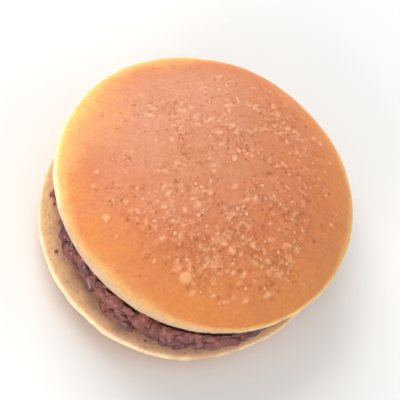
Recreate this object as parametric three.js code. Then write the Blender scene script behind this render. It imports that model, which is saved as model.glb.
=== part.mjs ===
// A dorayaki: two soft, domed pancakes with a layer of sweet red bean paste between them.
// Millimetres, +Z up. The origin is the middle of the flat spot that the lower pancake rests on,
// and -Y is the side where the pancakes stand furthest apart and the most paste shows.
import * as THREE from "three";

// ---- Driving dimensions, in millimetres -------------------------------------------------------

// A pancake is a lens with a blunt rim. `reach` is its radius and `half` half its thickness, both
// to the widest point. Its middle surface starts at `middle` over the centre, climbs by `rise`
// towards the rim as share ** bend, and leans by `lean` millimetres across the radius along x and y.
// `outline` and `wave` are ripples, each [lobes, size, phase]: of the radius, as a share of it,
// and of the rim's height.
const LOWER = {
  centre: [0, 0],
  reach: 45.6,
  half: 5.8,
  middle: 5.2,
  rise: 4.2,
  bend: 3,
  lean: [0, 0],
  outline: [
    [2, 0.012, 3.66],
    [3, 0.008, 5.24],
    [5, 0.004, 0.4],
  ],
  wave: [
    [1, 1.6, -1.31],
    [2, 0.5, 2.4],
    [3, 0.4, 0.7],
    [5, 0.3, 1.9],
  ],
};
const UPPER = {
  centre: [1.3, 6.3],
  reach: 47.4,
  half: 6.6,
  middle: 28.6,
  rise: -8.2,
  bend: 2.1,
  lean: [-1.6, -3.2],
  outline: [
    [2, 0.012, -2.33],
    [3, 0.006, 3.0],
    [4, 0.006, -0.55],
  ],
  wave: [
    [2, 0.5, 0.9],
    [3, 0.5, 4.4],
    [7, 0.25, 1.2],
  ],
};
const PANCAKE_BLUNTNESS = 2.8; // exponent of the superellipse that rounds a pancake's rim

// The paste is one layer from one pancake's pale face to the other's, and bulges out at its side.
const PASTE = {
  centre: [0.8, -1],
  reach: 41,
  clearance: 0.3,
  outline: [
    [1, 0.024, 0.9],
    [2, 0.012, 2.6],
    [3, 0.018, 3.67],
    [9, 0.014, 1.57],
  ],
  lumps: [
    [11, 0.5, 0.3],
    [16, 0.45, 2.2],
  ],
  lumpTwist: 1.4, // how far a lump's phase turns from the foot of the paste's side to its top
};
const PASTE_BLUNTNESS = 5;

// ---- Resolution --------------------------------------------------------------------------------

const SECTORS = 72; // facets around the axis
const PANCAKE_STEPS = 22; // facets from the browned face's centre round the rim to the pale one's
const PASTE_STEPS = 16;

// ---- Finishes ----------------------------------------------------------------------------------

const finishes = {
  bakedCrust: new THREE.MeshStandardMaterial({
    color: 0xd98a5c,
    roughness: 0.62,
    metalness: 0,
  }),
  beanPaste: new THREE.MeshStandardMaterial({
    color: 0x6b3f40,
    roughness: 0.42,
    metalness: 0,
  }),
};

// ---- Shapes ------------------------------------------------------------------------------------

/** The sum of a list of ripples at an angle round the axis. */
function ripple(waves, angle) {
  return waves.reduce(
    (sum, [lobes, size, phase]) => sum + size * Math.cos(lobes * angle + phase),
    0,
  );
}

/** A pancake's radius at an angle round its own axis. */
function pancakeReach(cake, angle) {
  return cake.reach * (1 + ripple(cake.outline, angle));
}

/** The height of a pancake `offset` halves of its thickness above its middle surface, at a share of
 * its radius and an angle round its own axis. Nothing sinks below the table it rests on. */
function pancakeHeight(cake, share, angle, offset) {
  const lean =
    share * (cake.lean[0] * Math.cos(angle) + cake.lean[1] * Math.sin(angle));
  const middle =
    cake.middle +
    cake.rise * share ** cake.bend +
    lean +
    ripple(cake.wave, angle) * share ** 3;
  return Math.max(middle + offset * cake.half, 0);
}

/** The height of a pancake's upper face (side is 1) or underside (-1) over a point of the plan. */
function faceHeight(cake, side, x, y) {
  const dx = x - cake.centre[0];
  const dy = y - cake.centre[1];
  const angle = Math.atan2(dy, dx);
  const share = Math.min(Math.hypot(dx, dy) / pancakeReach(cake, angle), 1);
  const thickness =
    (1 - share ** PANCAKE_BLUNTNESS) ** (1 / PANCAKE_BLUNTNESS);
  return pancakeHeight(cake, share, angle, side * thickness);
}

/** Where a point of the unit lens goes in a pancake. */
function pancakePoint(cake, share, angle, offset) {
  const radius = share * pancakeReach(cake, angle);
  return [
    cake.centre[0] + radius * Math.cos(angle),
    cake.centre[1] + radius * Math.sin(angle),
    pancakeHeight(cake, share, angle, offset),
  ];
}

/** Where a point of the unit lens goes in the paste, between the pancakes' pale faces. */
function pastePoint(share, angle, offset) {
  const lumpPhase = PASTE.lumpTwist * offset;
  const lumps = PASTE.lumps.map(([lobes, size, phase]) => [
    lobes,
    size,
    phase + lumpPhase,
  ]);
  const radius =
    share * PASTE.reach * (1 + ripple(PASTE.outline, angle)) +
    share ** 6 * ripple(lumps, angle);
  const x = PASTE.centre[0] + radius * Math.cos(angle);
  const y = PASTE.centre[1] + radius * Math.sin(angle);
  const floor = faceHeight(LOWER, 1, x, y) + PASTE.clearance;
  const roof = faceHeight(UPPER, -1, x, y) - PASTE.clearance;
  return [x, y, (floor + roof) / 2 + (offset * (roof - floor)) / 2];
}

/** A closed lens of revolution, one unit in radius and half thickness, from its foot to its top. */
function unitLens(bluntness, steps) {
  const profile = [];
  for (let step = 0; step <= steps; step += 1) {
    const turn = Math.PI * (step / steps - 0.5);
    profile.push(
      new THREE.Vector2(
        step % steps ? Math.cos(turn) ** (2 / bluntness) : 0,
        Math.sign(turn) * Math.abs(Math.sin(turn)) ** (2 / bluntness),
      ),
    );
  }
  return new THREE.LatheGeometry(profile, SECTORS).rotateX(Math.PI / 2);
}

/** A named mesh whose unit lens is carried point by point to its true place and shape. */
function shaped(name, lens, finish, place) {
  const points = lens.getAttribute("position");
  for (let i = 0; i < points.count; i += 1) {
    const x = points.getX(i);
    const y = points.getY(i);
    points.setXYZ(i, ...place(Math.hypot(x, y), Math.atan2(y, x), points.getZ(i)));
  }
  lens.computeVertexNormals();
  const mesh = new THREE.Mesh(lens, finish);
  mesh.name = name;
  return mesh;
}

function pancake(name, cake) {
  const lens = unitLens(PANCAKE_BLUNTNESS, PANCAKE_STEPS);
  return shaped(name, lens, finishes.bakedCrust, (share, angle, offset) =>
    pancakePoint(cake, share, angle, offset),
  );
}

function beanPaste() {
  const lens = unitLens(PASTE_BLUNTNESS, PASTE_STEPS);
  return shaped("bean_paste", lens, finishes.beanPaste, pastePoint);
}

// ---- The whole dorayaki ------------------------------------------------------------------------

const dorayaki = new THREE.Group();
dorayaki.add(pancake("lower_pancake", LOWER));
dorayaki.add(beanPaste());
dorayaki.add(pancake("upper_pancake", UPPER));

export default dorayaki;
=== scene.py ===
"""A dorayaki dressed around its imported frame.

Two soft baked pancakes, each with a browned face, a pale cream rim and a pale inner face, and the
coarse red bean paste between them, with whole beans and bean skins along its side. Everything is
in metres, apart from the patterns that the finishes paint, which are in millimetres. Each piece
takes its place from the frame's own nodes, and its form from the same few named sizes as the
solids.
"""

import logging
import math
from dataclasses import dataclass
from enum import Enum, IntEnum
from typing import Callable, Iterable, Optional, Sequence, Union

import bmesh
import bpy
import numpy as np
from mathutils import Matrix, Vector, noise
from mathutils.kdtree import KDTree


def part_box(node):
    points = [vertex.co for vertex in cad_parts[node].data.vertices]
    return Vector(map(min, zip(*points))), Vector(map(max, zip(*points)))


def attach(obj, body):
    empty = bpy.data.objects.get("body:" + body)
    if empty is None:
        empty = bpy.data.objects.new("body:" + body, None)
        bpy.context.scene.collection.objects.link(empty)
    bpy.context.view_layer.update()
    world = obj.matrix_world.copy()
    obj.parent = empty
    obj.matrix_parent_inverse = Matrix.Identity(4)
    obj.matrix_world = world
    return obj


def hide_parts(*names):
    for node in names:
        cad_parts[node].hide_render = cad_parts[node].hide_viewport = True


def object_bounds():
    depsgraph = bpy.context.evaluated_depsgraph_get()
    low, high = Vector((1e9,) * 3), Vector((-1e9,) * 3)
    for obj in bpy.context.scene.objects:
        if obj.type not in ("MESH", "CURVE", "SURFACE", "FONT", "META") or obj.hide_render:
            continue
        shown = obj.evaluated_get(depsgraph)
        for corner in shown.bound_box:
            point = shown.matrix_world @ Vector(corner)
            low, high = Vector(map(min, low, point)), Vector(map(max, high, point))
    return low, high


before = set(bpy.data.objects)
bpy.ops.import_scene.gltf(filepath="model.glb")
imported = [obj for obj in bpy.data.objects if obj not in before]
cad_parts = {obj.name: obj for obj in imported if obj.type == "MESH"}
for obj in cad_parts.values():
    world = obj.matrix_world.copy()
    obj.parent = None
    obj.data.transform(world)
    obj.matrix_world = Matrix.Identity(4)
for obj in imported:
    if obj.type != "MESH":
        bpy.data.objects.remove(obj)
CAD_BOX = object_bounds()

log = logging.getLogger("dorayaki")

MM = 0.001
BODY = "root"

# What brings smooth noise to about -1 to 1, and the step from one of its patterns to the next.
WAVE_GAIN, WAVE_STEP = 1.6, 37.7
# The same for clods, whose heights go from 0 to about 1.
CLOD_GAIN, CLOD_STEP = 1.6, 11.3
# How many places a form is measured at: round it, up its rim and across a face.
ROUND_SAMPLES, RIM_SAMPLES, FACE_SAMPLES = 361, 61, 40

Colour = tuple[float, float, float, float]
Socket = bpy.types.NodeSocket
Feed = Union[Socket, float, Sequence[float]]


class Slot(Enum):
    """The material slots for the pancakes and the bean paste."""

    PANCAKE = "pancake"
    BEAN_PASTE = "bean_paste"


class Side(Enum):
    """Which face of a pancake is meant: the one that looks up or the one that looks down."""

    UP = 1
    DOWN = -1


class Mask(Enum):
    """The vertex attributes that the finishes read, each from 0 to 1."""

    BROWNING = "browning"
    INNER_CRUMB_AND_SHADE = "inner"
    ROSY = "rosy"
    BUBBLY = "bubbly"
    FLECKS = "flecks"
    PRICKS = "pricks"
    HOLLOW_SHADE = "pores"
    STAIN = "stain"
    TINT = "tint"


class Lay(Enum):
    """How a colour is laid over another: it covers it, or it makes it darker or lighter."""

    COVER = "MIX"
    FILTER = "MULTIPLY"


class Pattern(IntEnum):
    """The first pattern of noise that each unevenness takes, so that no two are alike."""

    SWELL = 0
    CRUMPLE = 5
    CRUST = 20
    VEINS = 23
    BLUSH = 24
    STAIN = 30
    WRINKLES = 40
    CRUMBS = 45
    PITS = 50


@dataclass(frozen=True)
class Fade:
    """A smooth step.

    Attributes:
        low: The value at which the step leaves 0.
        high: The value at which it reaches 1. It may be below low.
    """

    low: float
    high: float

    def at(self, value: np.ndarray) -> np.ndarray:
        """The share of the step at each value, from 0 to 1."""
        share = np.clip((value - self.low) / (self.high - self.low), 0.0, 1.0)
        return share * share * (3.0 - 2.0 * share)


def waves(points: np.ndarray, size: float, pattern: int) -> np.ndarray:
    """Smooth noise over points in space.

    Args:
        points: The points, one row each.
        size: The width of a hump and the hollow beside it.
        pattern: A number that picks one of many unlike patterns.

    Returns:
        The noise at each point, about -1 to 1.
    """
    scaled = points / size + WAVE_STEP * (pattern + 1)
    return np.array([noise.noise(Vector(p)) for p in scaled.tolist()]) * WAVE_GAIN


def clods(points: np.ndarray, size: float, pattern: int) -> np.ndarray:
    """Rounded clods packed side by side, as in a coarse paste.

    Args:
        points: The points, one row each.
        size: The width of a clod.
        pattern: A number that picks one of many unlike patterns.

    Returns:
        The height over the creases at each point, 0 to about 1.
    """
    scaled = points / size + CLOD_STEP * (pattern + 1)
    found = [noise.voronoi(Vector(p))[0] for p in scaled.tolist()]
    return np.sqrt(np.clip([(d[1] - d[0]) * CLOD_GAIN for d in found], 0.0, 1.0))


@dataclass(frozen=True)
class Relief:
    """Layers of smooth noise.

    Attributes:
        layers: The height and the width of each layer's humps.
        first: The first layer's pattern. The others take the ones after it.
    """

    layers: tuple[tuple[float, float], ...]
    first: Pattern

    def at(self, points: np.ndarray) -> np.ndarray:
        """Sums the layers.

        Args:
            points: The points, one row each.

        Returns:
            The height at each point.
        """
        total = np.zeros(len(points))
        for number, (height, size) in enumerate(self.layers):
            total += height * waves(points, size, self.first + number)
        return total


@dataclass(frozen=True)
class Ripple:
    """One wave round a rim.

    Attributes:
        lobes: How many times it rises in a turn.
        size: Its height, as a share of the radius or in metres.
        phase: The angle that its first crest is turned by, in radians.
    """

    lobes: int
    size: float
    phase: float


def rippled(ripples: Iterable[Ripple], angle: np.ndarray) -> np.ndarray:
    """Sums several ripples.

    Args:
        ripples: The ripples.
        angle: The angles round the rim.

    Returns:
        The sum at each angle.
    """
    total = np.zeros_like(angle)
    for wave in ripples:
        total += wave.size * np.cos(wave.lobes * angle + wave.phase)
    return total


@dataclass(frozen=True)
class Profile:
    """The cross-section of a lens whose rim is rounded as a superellipse.

    Attributes:
        bluntness: The superellipse's exponent.
        rim_share: The share of the radius at which a face ends and the rim begins.
        samples: How many points the rim's arc is measured at.
    """

    bluntness: float
    rim_share: float
    samples: int = 200

    def thickness(self, share: np.ndarray) -> np.ndarray:
        """Half the thickness at a share of the radius, as a share of its largest value."""
        inner = np.clip(1.0 - np.clip(share, 0.0, 1.0) ** self.bluntness, 0.0, 1.0)
        return inner ** (1.0 / self.bluntness)

    def rim(self, climb: np.ndarray, slimness: float) -> tuple[np.ndarray, np.ndarray]:
        """Points spread evenly along the rim's arc.

        Args:
            climb: How far up the arc each point is, from 0 at its foot to 1 at its top.
            slimness: Half the lens's thickness over its radius.

        Returns:
            The share of the radius and the share of half the thickness at each point.
        """
        top = math.acos(self.rim_share ** (self.bluntness / 2.0))
        turn = np.linspace(-top, top, self.samples)
        share = np.cos(turn) ** (2.0 / self.bluntness)
        offset = np.sign(turn) * np.abs(np.sin(turn)) ** (2.0 / self.bluntness)
        steps = np.hypot(np.diff(share), np.diff(offset) * slimness)
        along = np.concatenate([[0.0], np.cumsum(steps)])
        along /= along[-1]
        return np.interp(climb, along, share), np.interp(climb, along, offset)


@dataclass(frozen=True)
class Spots:
    """Where points lie on or in a lens, one entry for each.

    Attributes:
        share: The share of the radius.
        angle: The angle round the lens's axis.
        offset: The share of half the thickness, from -1 below to 1 above.
    """

    share: np.ndarray
    angle: np.ndarray
    offset: np.ndarray

    @property
    def plan(self) -> tuple[np.ndarray, np.ndarray]:
        """The places in plan along x and y, as shares of the radius."""
        return self.share * np.cos(self.angle), self.share * np.sin(self.angle)


@dataclass(frozen=True)
class LensNet:
    """A closed net for a lens: two square grids joined round their rim.

    It is first a flat box, from -1 to 1 in plan and from 0 to 1 in height.

    Attributes:
        cells: Cells across a face before what shows is made finer.
        rows: Rows of cells round the rim before that.
        profile: The lens's cross-section.
        slimness: Half the lens's thickness over its radius.
        fine_up: The share of the radius beyond which the upper face is made finer.
        fine_down: The same for the lower face.
        parts: How many parts a cell is taken as when the net's places are numbered.
        slack: How far off a place in the box may be and still count as on its side.
    """

    cells: int
    rows: int
    profile: Profile
    slimness: float
    fine_up: float
    fine_down: float
    parts: int = 12
    slack: float = 1e-6

    def build(self, name: str) -> tuple[bpy.types.Mesh, Spots]:
        """Makes the net.

        Args:
            name: The mesh's name.

        Returns:
            The mesh and where each of its vertices lies on the lens.
        """
        bm = bmesh.new()
        bmesh.ops.create_grid(bm, x_segments=self.cells, y_segments=self.cells, size=1.0)
        lifted = bmesh.ops.extrude_face_region(bm, geom=bm.faces[:])["geom"]
        upper = [v for v in lifted if isinstance(v, bmesh.types.BMVert)]
        bmesh.ops.translate(bm, verts=upper, vec=(0.0, 0.0, 1.0))
        posts = [e for e in bm.edges if abs(e.verts[0].co.z - e.verts[1].co.z) > 0.5]
        bmesh.ops.subdivide_edges(bm, edges=posts, cuts=self.rows - 1, use_grid_fill=True)
        shown = [f for f in bm.faces if self._is_fine(f.calc_center_median())]
        edges = list(dict.fromkeys(e for f in shown for e in f.edges))
        bmesh.ops.subdivide_edges(bm, edges=edges, cuts=1, use_grid_fill=True)
        bmesh.ops.recalc_face_normals(bm, faces=bm.faces[:])
        bm.verts.sort(key=lambda v: self._rank(v.co))
        bm.faces.sort(key=lambda f: self._rank(f.calc_center_median()))
        mesh = take_mesh(bm, name)
        return mesh, self._unrolled(read_vectors(mesh.vertices, "co"))

    def _rank(self, place: Vector) -> float:
        """Numbers a place in the box, so that the net is always in the same order.

        Args:
            place: A vertex's place or the middle of a face.

        Returns:
            The number, by height, then from front to back, then from left to right.
        """
        across = self.parts * self.cells
        column, line = round((place.x + 1.0) * across), round((place.y + 1.0) * across)
        layer = round(place.z * 2.0 * self.parts * self.rows)
        span = 2 * across + 1
        return float((layer * span + line) * span + column)

    def _is_fine(self, centre: Vector) -> bool:
        """Tells whether a cell is made finer.

        Args:
            centre: The cell's middle in the box.

        Returns:
            True on the rim and where a face shows.
        """
        share = max(abs(centre.x), abs(centre.y)) * self.profile.rim_share
        hidden_up = centre.z > 1.0 - self.slack and share < self.fine_up
        hidden_down = centre.z < self.slack and share < self.fine_down
        return not (hidden_up or hidden_down)

    def _unrolled(self, net: np.ndarray) -> Spots:
        """Takes the box's points to the lens.

        Args:
            net: The points, one row each.

        Returns:
            The same points' places on the lens.
        """
        finest = np.array([self.cells, self.cells, 2 * self.rows])
        x, y, climb = (np.round(net * finest) / finest).T
        reach = np.maximum(np.abs(x), np.abs(y))
        safe_x, safe_y = np.where(x == 0.0, 1.0, x), np.where(y == 0.0, 1.0, y)
        angle = np.where(
            np.abs(x) >= np.abs(y),
            math.pi / 4.0 * y / safe_x + np.where(x < 0.0, math.pi, 0.0),
            math.pi / 2.0 - math.pi / 4.0 * x / safe_y + np.where(y < 0.0, math.pi, 0.0),
        )
        share = reach * self.profile.rim_share
        offset = np.where(climb > 0.5, 1.0, -1.0) * self.profile.thickness(share)
        on_rim = reach > 1.0 - self.slack
        rim_share, rim_offset = self.profile.rim(climb, self.slimness)
        return Spots(
            share=np.where(on_rim, rim_share, share),
            angle=angle,
            offset=np.where(on_rim, rim_offset, offset),
        )


def take_mesh(bm: bmesh.types.BMesh, name: str) -> bpy.types.Mesh:
    """Turns a finished bmesh into a mesh and frees it.

    Args:
        bm: The bmesh.
        name: The mesh's name.

    Returns:
        The mesh.
    """
    mesh = bpy.data.meshes.new(name)
    bm.to_mesh(mesh)
    bm.free()
    return mesh


def read_vectors(items: bpy.types.bpy_prop_collection, name: str) -> np.ndarray:
    """Reads a vector of each of a mesh's items.

    Args:
        items: The mesh's vertices or its vertex normals.
        name: The vector's name there.

    Returns:
        The vectors, one row each.
    """
    flat = np.zeros(len(items) * 3, dtype=np.float32)
    items.foreach_get(name, flat)
    return flat.reshape(-1, 3).astype(float)


def write_points(mesh: bpy.types.Mesh, points: np.ndarray) -> None:
    """Moves a mesh's vertices to new places."""
    mesh.vertices.foreach_set("co", points.astype(np.float32).ravel())
    mesh.update()


def write_mask(mesh: bpy.types.Mesh, mask: Mask, values: np.ndarray) -> None:
    """Stores a mask on a mesh's vertices for its finish to read."""
    attribute = mesh.attributes.new(mask.value, "FLOAT", "POINT")
    attribute.data.foreach_set("value", np.clip(values, 0.0, 1.0).astype(np.float32))


def wrinkle(mesh: bpy.types.Mesh, relief: Relief) -> None:
    """Moves a mesh's vertices in and out along its normals.

    Args:
        mesh: The mesh.
        relief: The relief that it is given.
    """
    points = read_vectors(mesh.vertices, "co")
    normals = read_vectors(mesh.vertex_normals, "vector")
    write_points(mesh, points + normals * relief.at(points)[:, None])


def add_object(name: str, data: bpy.types.ID) -> bpy.types.Object:
    """Puts a new thing in the scene.

    Args:
        name: Its name.
        data: Its mesh, light or lens.

    Returns:
        Its object.
    """
    thing = bpy.data.objects.new(name, data)
    bpy.context.scene.collection.objects.link(thing)
    return thing


def finish_piece(
    mesh: bpy.types.Mesh, finish: bpy.types.Material, nodes: Sequence[str] = ()
) -> None:
    """Puts a mesh in the scene as a piece of the dorayaki.

    Args:
        mesh: The piece's mesh, already in its place.
        finish: Its material.
        nodes: The frame's nodes that it stands for.
    """
    mesh.materials.append(finish)
    mesh.shade_smooth()
    piece = add_object(mesh.name, mesh)
    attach(piece, BODY)
    if nodes:
        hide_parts(*nodes)
    mesh.calc_loop_triangles()
    log.info("%s: %d triangles", piece.name, len(mesh.loop_triangles))


@dataclass(frozen=True)
class Placing:
    """How a nominal form is moved and sized to fill its node's box in the frame.

    Attributes:
        scale: The size of the frame's node over the nominal one, along each axis.
        shift: The move that follows.
    """

    scale: np.ndarray
    shift: np.ndarray

    @classmethod
    def in_box(cls, node: str, nominal: np.ndarray) -> "Placing":
        """Fits nominal points into a node's box.

        Args:
            node: The frame's node.
            nominal: The points, one row each.

        Returns:
            The placing that takes the points' box to the node's.
        """
        low, high = (np.array(corner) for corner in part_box(node))
        least, most = nominal.min(0), nominal.max(0)
        scale = (high - low) / (most - least)
        return cls(scale=scale, shift=low - least * scale)

    def placed(self, points: np.ndarray) -> np.ndarray:
        """Nominal points taken to their true places."""
        return points * self.scale + self.shift

    def nominal(self, points: np.ndarray) -> np.ndarray:
        """True places taken back to nominal ones."""
        return (points - self.shift) / self.scale


@dataclass(frozen=True)
class PancakeForm:
    """The form of a pancake: a lens with a blunt rim, bent and rippled.

    Attributes:
        node: The frame's node that it fills.
        reach: Its radius.
        half: Half its thickness.
        middle: The height of its middle surface over its centre.
        rise: How far that surface climbs from the centre to the rim.
        bend: The power of the share of the radius that it climbs with.
        lean: How far it leans across the radius, along x and y.
        outline: Ripples of the radius, as shares of it.
        wave: Ripples of the rim's height.
        wave_bend: The power of the share of the radius that those fade in with.
        profile: Its cross-section.
    """

    node: str
    reach: float
    half: float
    middle: float
    rise: float
    bend: float
    lean: tuple[float, float]
    outline: tuple[Ripple, ...]
    wave: tuple[Ripple, ...]
    wave_bend: int = 3
    profile: Profile = Profile(bluntness=2.8, rim_share=0.93)

    def radius(self, angle: np.ndarray) -> np.ndarray:
        """The radius at each angle round the pancake's own axis."""
        return self.reach * (1.0 + rippled(self.outline, angle))

    def height(self, share: np.ndarray, angle: np.ndarray, offset: np.ndarray) -> np.ndarray:
        """The height of points on or in the pancake.

        Args:
            share: The share of the radius.
            angle: The angle round the axis.
            offset: The share of half the thickness above the middle surface.

        Returns:
            The heights, none below the surface that the dorayaki rests on.
        """
        lean = share * (self.lean[0] * np.cos(angle) + self.lean[1] * np.sin(angle))
        middle = self.middle + self.rise * share**self.bend + lean
        middle = middle + rippled(self.wave, angle) * share**self.wave_bend
        return np.maximum(middle + offset * self.half, 0.0)

    def place(self, spots: Spots) -> np.ndarray:
        """Works out where spots on the pancake are.

        Args:
            spots: Where they lie on the lens.

        Returns:
            Their nominal places, round the pancake's own axis, one row each.
        """
        radius = self.radius(spots.angle)
        across, along = spots.plan
        height = self.height(spots.share, spots.angle, spots.offset)
        return np.column_stack([radius * across, radius * along, height])

    def placing(self) -> Placing:
        """Measures the form.

        Returns:
            How it is placed in the frame.
        """
        climb = np.linspace(0.0, 1.0, RIM_SAMPLES)
        share, offset = self.profile.rim(climb, self.half / self.reach)
        faces = np.linspace(0.0, self.profile.rim_share, FACE_SAMPLES)
        depth = self.profile.thickness(faces)
        share = np.concatenate([share, faces, faces])
        offset = np.concatenate([offset, depth, -depth])
        angle = np.linspace(0.0, math.tau, ROUND_SAMPLES)
        grid_share, grid_angle = (a.ravel() for a in np.meshgrid(share, angle))
        grid_offset = np.tile(offset, len(angle))
        return Placing.in_box(self.node, self.place(Spots(grid_share, grid_angle, grid_offset)))

    def share(self, placing: Placing, points: np.ndarray) -> np.ndarray:
        """The share of the radius at which points of the plan lie."""
        plan = placing.nominal(points)
        return np.hypot(plan[:, 0], plan[:, 1]) / self.radius(np.arctan2(plan[:, 1], plan[:, 0]))

    def face(self, placing: Placing, side: Side, points: np.ndarray) -> np.ndarray:
        """The height of one of the pancake's faces over or under points of the plan.

        Args:
            placing: How the pancake is placed.
            side: The face.
            points: The points, whose height doesn't matter.

        Returns:
            The face's height at each point, and the rim's beyond it.
        """
        plan = placing.nominal(points)
        angle = np.arctan2(plan[:, 1], plan[:, 0])
        share = np.minimum(self.share(placing, points), 1.0)
        plan[:, 2] = self.height(share, angle, side.value * self.profile.thickness(share))
        return placing.placed(plan)[:, 2]


@dataclass(frozen=True)
class Patch:
    """A soft round patch on a pancake, in shares of its radius.

    Attributes:
        across: Its place along x.
        along: Its place along y.
        spread: How far it fades out over.
        weight: Its strength at its middle.
    """

    across: float
    along: float
    spread: float
    weight: float

    def strength(self, across: np.ndarray, along: np.ndarray) -> np.ndarray:
        """The patch's strength at places on the pancake."""
        far = np.hypot(across - self.across, along - self.along) / self.spread
        return self.weight * np.exp(-(far**2))


def patched(patches: Iterable[Patch], spots: Spots) -> np.ndarray:
    """Sums several patches.

    Args:
        patches: The patches.
        spots: Where points lie on the pancake.

    Returns:
        The summed strength at each of them.
    """
    across, along = spots.plan
    total = np.zeros_like(across)
    for patch in patches:
        total += patch.strength(across, along)
    return total


@dataclass(frozen=True)
class Pressed:
    """What pits have done to a surface, one entry for each of its points.

    Attributes:
        height: The height to add.
        inside: How far the point lies in a pit, from 0 to 1.
        brink: How near it lies to a pit's brink, from 0 to 1.
    """

    height: np.ndarray
    inside: np.ndarray
    brink: np.ndarray


@dataclass(frozen=True)
class Pits:
    """Roundish hollows that burst bubbles leave in a surface.

    Attributes:
        count: How many there are.
        least: The smallest one's radius.
        most: The largest one's radius.
        rarity: How rare the large ones are: 1 is even, and more is rarer.
        depth: Their depth as a share of their radius.
        lip: The height of the lip round them, as a share of their depth.
        oval: How much longer than wide the longest one is, as a share of its width.
        faintest: How strongly the faintest one is marked, of 1.
        wobble: How far their outlines stray from ovals.
        wobble_size: The width of that straying's humps.
        reach: How far from its middle a pit is felt, in radii.
        steepness: How steeply its hollow rises.
        floor: How wide its flat middle is marked: 1 for a point, and more is wider.
        lip_at: Where its lip stands, in radii.
        lip_width: How wide the lip is, in radii.
    """

    count: int
    least: float
    most: float
    rarity: float
    depth: float
    lip: float = 0.0
    oval: float = 0.3
    faintest: float = 0.6
    wobble: float = 0.25 * MM
    wobble_size: float = 1.5 * MM
    reach: float = 2.0
    steepness: float = 1.35
    floor: float = 1.5
    lip_at: float = 1.15
    lip_width: float = 0.3

    def press(self, points: np.ndarray, likely: np.ndarray, rng: np.random.Generator) -> Pressed:
        """Presses the pits into a surface.

        Args:
            points: The surface's points.
            likely: How likely a pit is at each of them.
            rng: The source of chance.

        Returns:
            What the pits do at each point.
        """
        strays = [waves(points, self.wobble_size, Pattern.PITS + axis) for axis in range(3)]
        points = points + self.wobble * np.column_stack(strays)
        tree = KDTree(len(points))
        for index, point in enumerate(points.tolist()):
            tree.insert(point, index)
        tree.balance()
        chosen = rng.choice(len(points), self.count, p=likely / likely.sum())
        radii = self.least * (self.most / self.least) ** (rng.random(self.count) ** self.rarity)
        lengths = 1.0 + self.oval * rng.random(self.count) ** 2
        turns = rng.uniform(0.0, math.tau, self.count)
        strengths = rng.uniform(self.faintest, 1.0, self.count)
        sunk, raised, inside, brink = (np.zeros(len(points)) for _ in range(4))
        for number, centre in enumerate(points[chosen].tolist()):
            radius, length, strength = radii[number], lengths[number], strengths[number]
            way = Vector((math.cos(turns[number]), math.sin(turns[number]), 0.0))
            for place, index, gap in tree.find_range(centre, radius * self.reach * length):
                along = (place - Vector(centre)).dot(way)
                near = math.sqrt(gap * gap - along * along * (1.0 - length**-2)) / radius
                hollow = strength * math.exp(-((near * self.steepness) ** 2))
                ridge = strength * math.exp(-(((near - self.lip_at) / self.lip_width) ** 2))
                sunk[index] = max(sunk[index], radius * hollow)
                raised[index] = max(raised[index], radius * ridge)
                inside[index] = max(inside[index], min(1.0, self.floor * hollow))
                brink[index] = max(brink[index], ridge)
        return Pressed(self.depth * (self.lip * raised - sunk), inside, brink)


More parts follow.
